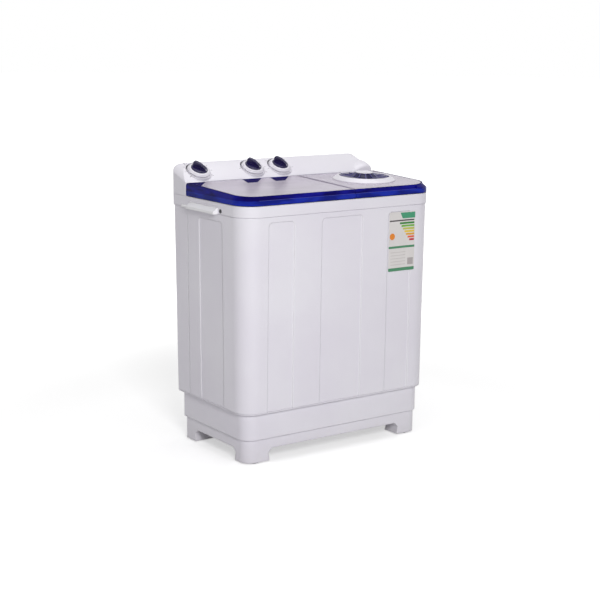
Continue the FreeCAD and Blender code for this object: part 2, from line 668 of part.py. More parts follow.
# ---------------------------------------------------------------- top frame
def make_top_frame():
    body = body_of("TopFrame")
    rim = sketch_on(body, "XY_Plane", (0, 0, s.cabinet_top))
    machine_plan(rim, half_width, half_depth, s.front_radius, s.rear_radius)
    pad(body, rim, s.rim_top - s.cabinet_top)
    under = sketch_on(body, "XY_Plane", (0, 0, s.cabinet_top))
    wall = s.rim_wall
    machine_plan(under, half_width - wall, half_depth - wall, s.front_radius - wall,
                 s.rear_radius - wall)
    pocket(body, under, s.deck_under - s.cabinet_top, back=True)
    deck = sketch_on(body, "XY_Plane", (0, 0, s.rim_top))
    ledge, corner = s.rim_ledge, s.front_radius - s.rim_ledge
    plan(deck, -half_width + ledge, half_width - ledge, -half_depth + ledge, s.deck_rear,
         corner, corner, s.rear_radius, s.rear_radius)
    pocket(body, deck, s.rim_top - s.deck_top)
    openings = sketch_on(body, "XY_Plane", (0, 0, s.deck_top))
    tub_plan(openings, 0)
    pocket(body, openings)
    spin = sketch_on(body, "XY_Plane", (0, 0, s.deck_top))
    ring_of(spin, s.spin_radius, s.spin_x, s.spin_y)
    pocket(body, spin)
    link = sketch_on(body, "XY_Plane", (0, 0, s.rim_top))
    ring_of(link, s.link_radius + s.link_gap, s.knob_middle, s.valve_y)
    pocket(body, link)
    for ear_x in (s.wash_ear_left, s.wash_ear_right, s.spin_ear_left, s.spin_ear_right):
        ear = sketch_on(body, "YZ_Plane", (0, 0, ear_x - s.ear_width / 2))
        reach = s.knuckle_radius
        draw(ear, (s.hinge_y - reach, s.deck_top - 1), (s.hinge_y + reach, s.deck_top - 1),
             (s.hinge_y + reach, s.hinge_z, reach), (s.hinge_y, s.hinge_z + reach, reach),
             (s.hinge_y - reach, s.hinge_z))
        pad(body, ear, s.ear_width)
        bore = sketch_on(body, "YZ_Plane", (0, 0, ear_x - s.ear_width))
        ring_of(bore, s.pin_radius, s.hinge_y, s.hinge_z)
        pocket(body, bore, 2 * s.ear_width, back=True)
    return node(body, "top_frame")


def tub_plan(sketch, outset):
    """The wash tub's plan, set out from its inner face."""
    reach_x, reach_y, corner = (s.wash_half_x + outset, s.wash_half_y + outset,
                                s.wash_radius + outset)
    return plan(sketch, s.wash_x - reach_x, s.wash_x + reach_x, s.wash_y - reach_y,
                s.wash_y + reach_y, corner, corner, corner, corner)


def make_handle(label, side):
    """A hooded lifting grip on the side of the top frame, open underneath."""
    body = body_of("Handle")
    reach = half_width + s.handle_proud
    lip, sheet = s.handle_low + s.handle_lip, s.handle_sheet
    hood = sketch_on(body, "XZ_Plane", (0, 0, -s.handle_rear))
    points = [(half_width, s.handle_high), (half_width, s.handle_high - 1.4 * sheet),
              (reach - sheet, lip - 0.4 * sheet), (reach - sheet, s.handle_low),
              (reach, s.handle_low), (reach, lip)]
    draw(hood, *[(side * x, z) for x, z in points])
    pad(body, hood, s.handle_rear - s.handle_front)
    for cheek_y in (s.handle_front + s.handle_sheet, s.handle_rear):
        cheek = sketch_on(body, "XZ_Plane", (0, 0, -cheek_y))
        draw(cheek, *[(side * x, z) for x, z in (
            (half_width, s.handle_low), (reach, s.handle_low), (reach, lip),
            (half_width, s.handle_high))])
        pad(body, cheek, s.handle_sheet)
    tail = sketch_on(body, "XZ_Plane", (0, 0, -s.handle_rear - s.handle_tail))
    draw(tail, *[(side * x, z) for x, z in (
        (half_width, s.handle_low), (half_width + s.tail_proud, s.handle_low),
        (half_width + s.tail_proud, s.handle_low + s.tail_height - s.tail_proud),
        (half_width, s.handle_low + s.tail_height))])
    pad(body, tail, s.handle_tail)
    return node(body, label)


# ---------------------------------------------------------------- tubs
def make_wash_tub():
    body = body_of("WashTub")
    draft, wall = s.wash_draft, s.wash_wall
    floor_under = s.wash_floor - wall
    low = tub_plan(sketch_on(body, "XY_Plane", (0, 0, floor_under)), wall - draft)
    top = tub_plan(sketch_on(body, "XY_Plane", (0, 0, s.deck_under)), wall)
    shape_with(body, "AdditiveLoft", low, Sections=[top], Ruled=True)
    flange = tub_plan(sketch_on(body, "XY_Plane", (0, 0, s.deck_under)), wall + s.tub_flange)
    pad(body, flange, s.tub_flange_thickness, back=True)
    well = sketch_on(body, "XY_Plane", (0, 0, s.well_floor - wall))
    ring_of(well, s.well_radius + wall, s.wash_x, s.wash_y)
    pad(body, well, s.wash_floor - s.well_floor)
    inner_low = tub_plan(sketch_on(body, "XY_Plane", (0, 0, s.wash_floor)), -draft)
    inner_top = tub_plan(sketch_on(body, "XY_Plane", (0, 0, s.deck_under)), 0)
    shape_with(body, "SubtractiveLoft", inner_low, Sections=[inner_top], Ruled=True)
    sump = sketch_on(body, "XY_Plane", (0, 0, s.wash_floor))
    ring_of(sump, s.well_radius, s.wash_x, s.wash_y)
    pocket(body, sump, s.wash_floor - s.well_floor)
    for radius, x, y in ((s.seal_radius, s.wash_x, s.wash_y),
                         (s.pipe_bore, s.knob_middle, s.wash_port_y)):
        hole = sketch_on(body, "XY_Plane", (0, 0, s.wash_floor))
        ring_of(hole, radius, x, y)
        pocket(body, hole)
    return node(body, "wash_tub")


def make_spin_tub():
    radius, wall, floor = s.spin_radius, s.spin_wall, s.spin_floor
    sump, port = s.spin_sump, s.port_step
    body = turned("SpinTub", (sump, floor - wall), (radius + wall, floor - wall),
                  (radius + wall, s.deck_under - s.tub_flange_thickness),
                  (radius + wall + s.tub_flange, s.deck_under - s.tub_flange_thickness),
                  (radius + wall + s.tub_flange, s.deck_under), (radius, s.deck_under),
                  (radius, floor + port), (radius - port, floor), (sump, floor))
    hole = sketch_on(body, "XY_Plane", (0, 0, floor))
    ring_of(hole, s.pipe_bore, -s.spin_port_place, s.spin_port_place)
    pocket(body, hole)
    return node(place(body, s.spin_x, s.spin_y), "spin_tub")


def make_basket():
    radius, wall, floor, top = s.basket_radius, s.basket_wall, s.basket_floor, s.basket_top
    corner = s.basket_corner
    pitch = (top - s.balance_height - s.hole_margin - floor - s.hole_low) / 3
    body = turned("Basket", (s.coupling_radius, floor - wall), (radius - corner, floor - wall, corner),
                  (radius, floor + corner - wall), (radius, top), (radius - wall, top),
                  (radius - wall, floor + corner - wall, -(corner - wall)),
                  (radius - corner, floor), (s.hub_top_radius, floor),
                  (s.coupling_radius + 3, floor + s.hub_rise), (s.shaft_radius, floor + s.hub_rise),
                  (s.shaft_radius, floor + s.hub_rise - 3),
                  (s.coupling_radius, floor + s.hub_rise - 3))
    for row in range(4):
        height = floor + s.hole_low + row * pitch
        hole = sketch_on(body, "XZ_Plane", (0, height, radius - wall - 2))
        ring_of(hole, s.basket_hole)
        cut = pocket(body, hole, wall + 4, back=True)
        spin_round(body, cut, 12)
    return node(place(body, s.spin_x, s.spin_y), "spin_basket")


def spin_round(body, feature, count):
    """Repeat a feature about the body's own Z axis."""
    axis = [line for line in body.Origin.OriginFeatures if line.Role == "Z_Axis"][0]
    pattern = body.newObject("PartDesign::PolarPattern", "Round")
    pattern.Originals = [feature]
    pattern.Axis = (axis, [""])
    pattern.Angle = 360
    pattern.Occurrences = count
    body.Tip = pattern
    document.recompute()
    return pattern


# ---------------------------------------------------------------- lids
lid_slope = slope(s.hinge_z + s.hinge_back - s.lid_front_top, s.hinge_y + half_depth)
lid_rear = s.hinge_y + s.hinge_back
lid_high = s.hinge_z + s.hinge_back
wash_lid_right = s.seam_x - s.lid_gap / 2
spin_lid_left = s.seam_x + s.lid_gap / 2


def lid_top_at(y):
    """The height of the lids' sloping top plane at a place along the depth."""
    return lid_high + (y - s.hinge_y) * (lid_high - s.lid_front_top) / (s.hinge_y + half_depth)


def lid_form(name, left, right, side, inset):
    """The outer form of a lid, or with an inset the space inside its walls.

    side is -1 for the lid on the left, whose left front corner is the round one."""
    body = body_of(name)
    corner = s.front_radius - inset
    outline = sketch_on(body, "XY_Plane", (0, 0, s.lid_base))
    if side < 0:
        plan(outline, left, right, -half_depth + inset, lid_rear - inset, front_left=corner)
    else:
        plan(outline, left, right, -half_depth + inset, lid_rear - inset, front_right=corner)
    pad(body, outline, lid_high - inset - s.lid_base)
    reach = s.hinge_back - inset
    past, above = half_depth + 1, lid_high + 1
    slope_cut = sketch_on(body, "YZ_Plane", (0, 0, left - 1))
    draw(slope_cut, (-past, lid_top_at(-past) - inset), (s.hinge_y, s.hinge_z + reach),
         (s.hinge_y, above), (-past, above))
    pocket(body, slope_cut, right - left + 2, back=True)
    back_cut = sketch_on(body, "YZ_Plane", (0, 0, left - 1))
    draw(back_cut, (s.hinge_y, s.hinge_z + reach, -reach), (s.hinge_y + reach, s.hinge_z),
         (s.hinge_y + reach + 1, s.hinge_z), (s.hinge_y + reach + 1, above), (s.hinge_y, above))
    pocket(body, back_cut, right - left + 2, back=True)
    return body


def top_sketch(body, lift=0):
    """A sketch that lies on the lids' sloping top, or parallel to it at a lift."""
    return sketch_on(body, "XY_Plane", (0, -lift * sine(lid_slope),
                                        lid_top_at(0) + lift * cosine(lid_slope)), lid_slope)


def panel_outline(sketch, left, right, side, spread):
    """The inlaid top panel: round at the outer front corner, cut off at the outer rear one.

    spread sets the outline out or in, for the seat that the panel lies in."""
    near, far = left + s.panel_margin - spread, right - s.panel_margin + spread
    front, rear = s.panel_front - half_depth - spread, lid_rear - s.panel_rear + spread
    if side < 0:
        corner = s.wash_panel_corner
        return draw(sketch, (near, front + corner, corner), (near + corner, front), (far, front),
                    (far, rear), (near + s.corner_cut_x, rear), (near, rear - s.corner_cut_y))
    corner = s.spin_panel_corner
    return draw(sketch, (near, front), (far - corner, front, corner), (far, front + corner),
                (far, rear - s.corner_cut_y), (far - s.corner_cut_x, rear), (near, rear))


def cut_notches(body, lift, depth):
    """The slanted openings at the wash panel's rear edge, in front of the two inner knobs."""
    front, rear = s.hinge_y - s.notch_front, lid_rear - s.panel_rear + 1
    for knob_x in (s.knob_middle, s.knob_right):
        notch = top_sketch(body, lift)
        left = knob_x - s.notch_left
        draw(notch, (left, front), (left + s.notch_width, front),
             (knob_x + s.notch_right, rear), (knob_x - s.notch_rear, rear))
        pocket(body, notch, depth)


def tier_cut(body, left, right, side, inset):
    """Set the upper part of the front skirt back, which leaves a ledge along the front.

    The ledge of the right-hand lid goes on round its front corner."""
    floor, reach = s.front_tier - inset, s.tier_depth + inset
    if side < 0:
        step = sketch_on(body, "XZ_Plane", (0, 0, half_depth + 1))
        near, far = -s.tier_side - inset, right + 1
        draw(step, (near, floor), (far, floor), (far, lid_high), (near, lid_high))
        pocket(body, step, reach + 1)
    else:
        step = sketch_on(body, "XY_Plane", (0, 0, floor))
        front, radius, past = reach - half_depth, s.tier_corner - inset, -half_depth - 1
        draw(step, (left - 1, past), (right + 1, past), (right + 1, front + radius),
             (right, front + radius, -radius), (right - radius, front), (left - 1, front))
        pocket(body, step, lid_high - floor + 1, back=True)


def make_lug(ear_x, lug_side):
    """One of the two lugs beside a hinge ear, with its bore for the pin."""
    body = body_of("Lug")
    start = ear_x + lug_side * (s.ear_width / 2 + s.knuckle_gap)
    if lug_side < 0:
        start = start - s.knuckle_width
    sketch = sketch_on(body, "YZ_Plane", (0, 0, start))
    reach, top = s.knuckle_radius, s.hinge_z + s.hinge_back - 0.6 * s.lid_wall
    draw(sketch, (s.hinge_y - reach, s.hinge_z, reach), (s.hinge_y, s.hinge_z - reach, reach),
         (s.hinge_y + reach, s.hinge_z), (s.hinge_y + 0.6 * reach, top),
         (s.hinge_y - reach, top))
    pad(body, sketch, s.knuckle_width)
    bore = sketch_on(body, "YZ_Plane", (0, 0, start - 1))
    ring_of(bore, s.pin_radius + s.pin_clearance, s.hinge_y, s.hinge_z)
    pocket(body, bore, s.knuckle_width + 2, back=True)
    return body


def make_lid(left, right, side, ears):
    """A hollow lid shell: skirts at the front and sides, and hinge lugs under its top."""
    wall = s.lid_wall
    outer = lid_form("LidOuter", left, right, side, flush)
    tier_cut(outer, left, right, side, flush)
    seat = top_sketch(outer)
    panel_outline(seat, left, right, side, s.panel_clearance)
    pocket(outer, seat, s.panel_seat)
    heel = sketch_on(outer, "YZ_Plane", (0, 0, left - 1))
    draw(heel, (lid_rear - s.heel, s.lid_base - 1), (lid_rear + 1, s.lid_base - 1),
         (lid_rear + 1, s.lid_base + s.heel))
    pocket(outer, heel, right - left + 2, back=True)
    slot_reach = s.ear_width / 2 + s.knuckle_gap
    for ear_x in ears:
        slot = sketch_on(outer, "XY_Plane", (0, 0, s.lid_base))
        plan(slot, ear_x - slot_reach, ear_x + slot_reach, s.hinge_y + s.slot_start, lid_rear + 1)
        pocket(outer, slot, lid_high - s.lid_base + 1, back=True)
    space = lid_form("LidSpace", left + wall, right - wall, side, wall)
    tier_cut(space, left + wall, right - wall, side, wall)
    under = sketch_on(space, "XY_Plane", (0, 0, s.lid_base))
    plan(under, left + 2 * wall, right - 2 * wall, -half_depth + 2 * wall, lid_rear - 2 * wall)
    pad(space, under, 1, back=True)
    shell = boolean("Cut", outer, space)
    for ear_x in ears:
        for lug_side in (-1, 1):
            shell = boolean("Fuse", shell, make_lug(ear_x, lug_side))
    return shell


def make_wash_lid():
    left, right = -half_width, wash_lid_right
    shell = make_lid(left, right, -1, (s.wash_ear_left, s.wash_ear_right))
    node(shell, "wash_lid")
    body = body_of("WashPanel")
    outline = top_sketch(body, s.panel_sheet - s.panel_seat)
    panel_outline(outline, left, right, -1, 0)
    pad(body, outline, s.panel_sheet, back=True)
    cut_notches(body, s.panel_sheet, 2 * s.panel_sheet)
    return node(body, "wash_lid_panel")


def make_spin_lid():
    left, right = spin_lid_left, half_width
    shell = make_lid(left, right, 1, (s.spin_ear_left, s.spin_ear_right))
    hole = s.ring_crest + s.ring_clearance
    window = rod("WindowCut", hole, -3 * s.lid_wall, s.lid_wall)
    node(boolean("Cut", shell, on_spin_lid(window)), "spin_lid")
    body = body_of("SpinPanel")
    outline = top_sketch(body, s.panel_sheet - s.panel_seat)
    panel_outline(outline, left, right, 1, 0)
    pad(body, outline, s.panel_sheet, back=True)
    opening = top_sketch(body, s.panel_sheet)
    ring_of(opening, s.ring_radius - s.ring_lap + s.ring_clearance, s.spin_x, s.spin_y)
    pocket(body, opening, 2 * s.panel_sheet)
    return node(body, "spin_lid_panel")


def on_spin_lid(item):
    """Stand a turned piece on the spin lid's top, square to its slope."""
    return place(item, s.spin_x, s.spin_y, lid_top_at(s.spin_y), lid_slope)


def make_window():
    seat = s.panel_sheet - s.panel_seat
    ring = turned("WindowRing", (s.window_hole, -s.lid_wall), (s.ring_crest, -s.lid_wall),
                  (s.ring_crest, -s.panel_seat), (s.ring_radius - s.ring_lap, -s.panel_seat),
                  (s.ring_radius - s.ring_lap, seat), (s.ring_radius, seat),
                  (s.ring_radius - 1, seat + 2), (s.ring_crest + 3, s.ring_height),
                  (s.ring_crest - 1, s.ring_height - 0.5), (s.window_hole, 1))
    node(on_spin_lid(ring), "spin_window_ring")
    sheet, dish, edge = s.window_sheet, s.window_dish, s.window_hole
    body = turned("Window", (0, -dish), (s.window_flat, -dish), (edge - 6, 1 - sheet),
                  (edge, 1 - sheet), (edge, 1), (edge - 6, 1), (s.window_flat, sheet - dish),
                  (0, sheet - dish))
    rib = sketch_on(body, "XY_Plane", (0, 0, -dish))
    draw(rib, (s.window_flat - 6, -s.window_rib / 2), (edge - 8, -s.window_rib / 2),
         (edge - 8, s.window_rib / 2), (s.window_flat - 6, s.window_rib / 2))
    bar = pad(body, rib, dish + 0.6)
    spin_round(body, bar, 12)
    return node(on_spin_lid(body), "spin_window")


def make_pins():
    """The steel pins that the lids' lugs turn on, one through each ear of the deck."""
    members = []
    for ear_x in (s.wash_ear_left, s.wash_ear_right, s.spin_ear_left, s.spin_ear_right):
        half = s.ear_width / 2 + s.knuckle_gap + s.knuckle_width
        pin = body_of("HingePin")
        section = sketch_on(pin, "YZ_Plane", (0, 0, ear_x - half))
        pad(pin, ring_of(section, s.pin_radius, s.hinge_y, s.hinge_z), 2 * half)
        members.append(pin)
    return group("hinge_pins", members)


# ---------------------------------------------------------------- console
def console_form(name, inset):
    """The console's crowned form, or with an inset the space inside its walls."""
    body = body_of(name)
    front, back = s.console_front + inset, half_depth - inset
    top, radius, end = s.overall_height - inset, s.console_back_radius - inset, s.console_end_slope
    edge = s.console_edge - 0.35 * inset
    low = s.rim_top
    brow_y = back - radius - radius * sine(end)
    brow_z = top - radius + radius * cosine(end)
    chord = slope(brow_z - edge, brow_y - front)
    span = root((brow_z - edge) * (brow_z - edge) + (brow_y - front) * (brow_y - front))
    crown = span / (2 * sine(chord - end))
    side = sketch_on(body, "YZ_Plane", (0, 0, -half_width + inset))
    draw(side, (back, low), (back, top - radius, radius), (brow_y, brow_z, crown),
         (front, edge), (front, low))
    pad(body, side, 2 * half_width - 2 * inset)
    run, drop = s.console_run, s.console_drop
    shoulder = (run * run + drop * drop) / (2 * drop)
    outer = half_width - inset
    sections = []
    for section_y, end_z in ((front - 2, edge), (back + 1, top - drop)):
        section = sketch_on(body, "XZ_Plane", (0, 0, -section_y))
        draw(section, (-outer + run, end_z + drop, shoulder), (-outer, end_z),
             (-outer - 9, end_z), (-outer - 9, end_z + 3 * drop), (-outer + run, end_z + 3 * drop))
        sections.append(section)
    cut = shape_with(body, "SubtractiveLoft", sections[0], Sections=[sections[1]], Ruled=True)
    other = body.newObject("PartDesign::Mirrored", "OtherEnd")
    other.Originals = [cut]
    other.MirrorPlane = ([face for face in body.Origin.OriginFeatures
                          if face.Role == "YZ_Plane"][0], [""])
    body.Tip = other
    document.recompute()
    add_swell(body, inset)
    radius = s.rear_radius - inset
    for side in (-1, 1):
        corner = sketch_on(body, "XY_Plane", (0, 0, low))
        end = side * outer
        draw(corner, (end + side, back - radius), (end, back - radius, side * radius),
             (end - side * radius, back), (end - side * radius, back + 1), (end + side, back + 1))
        pocket(body, corner, s.console_height, back=True)
    return body


def add_swell(body, inset):
    """The raised right end of the console, which grows out of its crowned front."""
    front, back = s.console_front + inset, half_depth - inset
    radius = s.console_back_radius - inset
    sections = []
    for place_in, fall in ((s.swell_start, s.swell_face + 1), (s.swell_full, 0),
                           (s.swell_shoulder, 0.5), (inset, 6)):
        datum = s.console_edge - inset - fall
        corner_y, crest_y = front + s.swell_corner_depth, front + s.swell_crest_depth
        section = sketch_on(body, "YZ_Plane", (0, 0, half_width - place_in))
        high = datum + s.swell_back
        draw(section, (back, s.rim_top + 1), (back, high - radius, radius),
             (back - radius, high), (crest_y, datum + s.swell_crest, s.swell_crown),
             (corner_y, datum + s.swell_corner, s.swell_corner_radius),
             (front, datum + s.swell_face), (front, s.rim_top + 1))
        sections.append(section)
    return shape_with(body, "AdditiveLoft", sections[0], Sections=sections[1:])


def knob_frame(body, knob_x, lift=0):
    """A sketch square to a knob's spindle, at a lift above its dial."""
    return sketch_on(body, "XY_Plane", (knob_x, s.knob_y - lift * sine(s.knob_tilt),
                                        s.knob_z + lift * cosine(s.knob_tilt)), s.knob_tilt)


knob_places = (s.knob_left, s.knob_middle, s.knob_right)


def add_lobes(body):
    """The shallow swells of the console's front below its knobs and at its right end."""
    for middle, width, low in (
            (-s.end_lobe_place, s.end_lobe_width, s.end_lobe_low),
            (s.end_lobe_place, s.end_lobe_width, s.end_lobe_low),
            (s.knob_middle - s.lobe_shift, s.lobe_width, s.lobe_low),
            (s.knob_right - s.lobe_shift, s.lobe_width, s.lobe_low)):
        half, proud = width / 2, s.lobe_proud
        radius = (half * half + proud * proud) / (2 * proud)
        lobe = sketch_on(body, "XY_Plane", (0, 0, low))
        front = s.console_front
        draw(lobe, (middle - half, front, radius), (middle + half, front),
             (middle + half, front + s.console_wall), (middle - half, front + s.console_wall))
        pad(body, lobe, s.console_edge - low)
    bevel = sketch_on(body, "YZ_Plane", (0, 0, -half_width))
    draw(bevel, (s.console_front, s.console_edge),
         (s.console_front - s.console_bevel, s.console_edge - s.console_bevel),
         (s.console_front - s.console_bevel, s.console_edge))
    pocket(body, bevel, 2 * half_width, back=True)


def make_console():
    outer = console_form("ConsoleOuter", flush)
    add_lobes(outer)
    for pod_x in knob_places:
        dial = knob_frame(outer, pod_x, -s.dial_sink)
        ring_of(dial, s.dial_radius)
        pad(outer, dial, s.dial_sink + s.dial_proud)
        seat = knob_frame(outer, pod_x, s.dial_proud)
        ring_of(seat, s.dial_radius)
        pocket(outer, seat, s.dial_sink, back=True)
        groove = knob_frame(outer, pod_x, s.dial_proud)
        ring_of(groove, s.dial_radius - s.dial_rim)
        ring_of(groove, s.dial_radius - s.dial_rim - s.dial_groove)
        pocket(outer, groove, s.dial_depth)
    space = console_form("ConsoleSpace", s.console_wall)
    for form, spread in ((outer, flush), (space, s.console_wall)):
        recess = sketch_on(form, "XZ_Plane", (0, 0, -half_depth))
        plan(recess, s.inlet_x - s.inlet_half - spread, s.inlet_x + s.inlet_half + spread,
             s.inlet_low - spread, s.inlet_high + spread)
        pocket(form, recess, s.inlet_depth + spread, back=True)
    shell = boolean("Cut", outer, space)
    for pod_x in knob_places:
        boss = body_of("Boss")
        foot = knob_frame(boss, pod_x, -s.boss_depth)
        pad(boss, ring_of(foot, s.boss_radius), s.boss_depth - 1)
        shell = boolean("Fuse", shell, boss)
    for pod_x in knob_places:
        bore = body_of("SpindleHole")
        hole = knob_frame(bore, pod_x, 4 * s.console_wall)
        ring_of(hole, s.spindle_radius + s.spindle_clearance)
        pad(bore, hole, 10 * s.console_wall, back=True)
        shell = boolean("Cut", shell, bore)
    return node(shell, "control_console")


def make_knobs():
    for label, knob_x in (("wash_timer", s.knob_left), ("selector", s.knob_middle),
                          ("spin_timer", s.knob_right)):
        low, rise = s.dial_proud + s.knob_gap, s.skirt_rise
        skirt = turned("KnobSkirt", (s.skirt_inner, low), (s.skirt_radius, low),
                       (s.skirt_radius, low + 0.4 * rise, -s.skirt_round),
                       (s.skirt_radius - s.skirt_round, low + 0.4 * rise + s.skirt_round),
                       (s.grip_radius, low + rise), (s.skirt_inner, low + 0.7 * rise))
        node(stand_on_dial(skirt, knob_x), label + "_skirt")
        flank, crest = low + s.grip_rise, low + s.grip_bar_rise
        grip = turned("KnobGrip", (0, low), (s.skirt_inner, low), (s.skirt_inner, low + 0.7 * rise),
                      (s.grip_radius, low + rise), (s.grip_radius, flank - 3),
                      (s.grip_radius - 3, flank), (0, flank + 2))
        bar = sketch_on(grip, "YZ_Plane", (0, 0, 0))
        bar.AttachmentOffset = Placement(Vector(), Rotation(Vector(0, 1, 0), s.knob_turn.value))
        bar.setExpression("AttachmentOffset.Rotation.Angle", s.knob_turn.formula)
        reach = s.grip_radius - 1.5
        draw(bar, (-reach, flank - 4), (reach - 4, flank - 4), (reach - 2, crest - 3),
             (reach - 6, crest, s.grip_crown), (-reach + 3, flank + 2), (-reach, flank))
        shape_with(grip, "Pad", bar, Length=s.grip_bar, Midplane=True)
        spindle = sketch_on(grip, "XY_Plane", (0, 0, low))
        ring_of(spindle, s.spindle_radius)
        pad(grip, spindle, s.spindle_length, back=True)
        node(stand_on_dial(grip, knob_x), label + "_knob")


def stand_on_dial(item, knob_x):
    return place(item, knob_x, s.knob_y, s.knob_z, s.knob_tilt)


def make_controls():
    """The two timers and the drain selector, hung under the console on its bosses."""
    bore = s.spindle_radius + s.spindle_clearance
    top = -s.boss_depth
    for label, knob_x, radius, depth in (
            ("wash_timer", s.knob_left, s.timer_radius, s.timer_depth),
            ("drain_selector", s.knob_middle, s.selector_radius, s.selector_depth),
            ("spin_timer", s.knob_right, s.timer_radius, s.timer_depth)):
        low = top - depth
        body = turned("Control", (bore, top), (bore, low + 3), (0, low + 3), (0, low),
                      (radius - 3, low), (radius, low + 3), (radius, top - 4), (radius - 5, top))
        node(stand_on_dial(body, knob_x), label)


def make_inlets():
    """The two water inlets that stand in the recess of the console's back."""
    members = []
    floor = half_depth - s.inlet_depth
    for side in (-1, 1):
        body = body_of("Inlet")
        place_x = s.inlet_x + side * s.inlet_pitch / 2
        middle = (s.inlet_low + s.inlet_high) / 2
        for radius, depth in ((s.inlet_radius + 4, Size.of(3)),
                              (s.inlet_radius, s.inlet_depth - 1)):
            section = sketch_on(body, "XZ_Plane", (0, 0, -floor))
            pad(body, ring_of(section, radius, place_x, middle), depth, back=True)
        bore = sketch_on(body, "XZ_Plane", (0, 0, -floor - s.inlet_depth))
        pocket(body, ring_of(bore, s.inlet_radius - 2, place_x, middle), s.inlet_depth - 2,
               back=True)
        members.append(body)
    return group("water_inlets", members)


# ---------------------------------------------------------------- wash drive
def at_wash(item):
    return place(item, s.wash_x, s.wash_y)


def make_pulsator():
    floor, gap = s.well_floor, s.pulsator_gap
    low = floor + gap
    radius, sheet, hub = s.pulsator_radius, s.pulsator_sheet, s.hub_radius
    crest = low + s.pulsator_dish + 2 * sheet
    disc = turned("Pulsator", (s.shaft_radius, low), (hub / 2, low), (hub / 2, low + 2),
                  (radius - 4, low + 2), (radius, low + 5), (radius, low + 9),
                  (radius - 4, low + 10), (0.72 * radius, low + sheet + 2),
                  (hub, low + s.pulsator_dish), (0.72 * hub, crest), (s.cap_radius, crest),
                  (s.cap_radius, crest - 3), (0, crest - 3), (0, crest - 7),
                  (s.shaft_radius, crest - 7))
    vane = sketch_on(disc, "XY_Plane", (0, 0, low + 4))
    inner, outer, width = 0.8 * hub, radius - 10, s.vane_width
    draw(vane, (inner, -width / 2, 1.2 * radius), (outer, 0.5 * width), (outer - 3, 2 * width),
         (inner, width / 2, -1.2 * radius))
    bar = pad(disc, vane, s.vane_height)
    spin_round(disc, bar, 6)
    node(at_wash(disc), "pulsator")
    cap = turned("Cap", (0, crest - 3), (s.cap_radius - 0.5, crest - 3),
                 (s.cap_radius - 0.5, crest + 0.5), (s.cap_radius - 2, crest + 2), (0, crest + 3))
    node(at_wash(cap), "pulsator_cap")
    shaft = rod("PulsatorShaft", s.shaft_radius, s.gearbox_top - s.gearbox_height + 12, crest - 7)
    return node(at_wash(shaft), "pulsator_shaft")


def make_gearbox():
    running = s.shaft_radius + s.shaft_clearance
    top = s.gearbox_top
    low, floor = top - s.gearbox_height, s.well_floor
    neck = s.seal_radius
    seal = turned("Seal", (running, top), (neck, top), (neck, floor), (neck + 4, floor),
                  (neck + 4, floor + 2), (running, floor + 3))
    node(at_wash(seal), "shaft_seal")
    radius, flange = s.gearbox_radius, s.gearbox_flange
    shelf = top - s.gearbox_flange_height
    body = turned("Gearbox", (running, top), (running, low + 10), (0, low + 10), (0, low + 7),
                  (running, low + 7), (running, low), (radius - 8, low), (radius, low + 6),
                  (radius, shelf), (flange, shelf), (flange, top))
    node(at_wash(body), "wash_gearbox")
    pulley = grooved_pulley("GearboxPulley", s.large_pulley, s.pulley_hub, s.shaft_radius,
                            low + 5, s.belt_level - s.pulley_height)
    return node(at_wash(pulley), "gearbox_pulley")


def grooved_pulley(name, radius, hub, shaft, shaft_top, shaft_low):
    """A V-belt pulley with its stub shaft, the belt level through the middle of the rim."""
    middle, half = s.belt_level, s.pulley_height / 2
    mouth, seat, depth = half - 1.5, s.belt_height / 2 + 0.5, s.groove_depth
    points = [(0, shaft_low), (hub, shaft_low), (hub, middle - half), (radius, middle - half),
              (radius, middle - mouth), (radius - depth, middle - seat),
              (radius - depth, middle + seat), (radius, middle + mouth),
              (radius, middle + half), (hub, middle + half), (shaft, middle + half),
              (shaft, shaft_top), (0, shaft_top)]
    body = turned(name, *points)
    if radius.value > 3 * hub.value:
        for level, lift in ((middle - half, 1), (middle + half, -1)):
            web = sketch_on(body, "XY_Plane", (0, 0, level))
            ring_of(web, radius - depth - 4)
            ring_of(web, hub)
            pocket(body, web, half - s.pulley_web / 2, back=lift > 0)
    return body


def motor_body(name, radius, low, height):
    """A closed motor with domed ends, and a bore for its shaft in the upper one."""
    running, top = s.motor_shaft + s.shaft_clearance, low + height
    bell, inset = s.end_bell, s.bell_inset
    return turned(name, (0, low), (radius - 2 * inset, low), (radius - inset, low + bell / 3),
                  (radius, low + bell), (radius, top - bell), (radius - inset, top - bell / 3),
                  (radius - 2 * inset, top - 2), (s.motor_shaft + 9, top - 2),
                  (s.motor_shaft + 7, top), (running, top), (running, top - s.shaft_socket),
                  (0, top - s.shaft_socket))


def at_motor(item):
    return place(item, s.motor_x, s.motor_y)


def stool(name, radius, low, top, plate, leg, circle):
    """A round mounting plate on three legs."""
    body = turned(name, (0, top - plate), (radius, top - plate), (radius, top), (0, top))
    foot = sketch_on(body, "XY_Plane", (0, 0, low))
    ring_of(foot, leg, circle, 0)
    post = pad(body, foot, top - plate - low)
    spin_round(body, post, 3)
    return body


def make_wash_motor():
    plate_top = s.wash_motor_low
    bracket = stool("WashMotorBracket", s.wash_motor_radius + 4, cabinet_bottom, plate_top,
                    s.mount_plate, s.leg_radius, s.wash_motor_radius - 8)
    node(at_motor(bracket), "wash_motor_bracket")
    motor = motor_body("WashMotor", s.wash_motor_radius, plate_top, s.wash_motor_height)
    node(at_motor(motor), "wash_motor")
    shaft_low = plate_top + s.wash_motor_height - 20
    pulley = turned("WashMotorPulley", *small_pulley_points(shaft_low))
    return node(at_motor(pulley), "wash_motor_pulley")


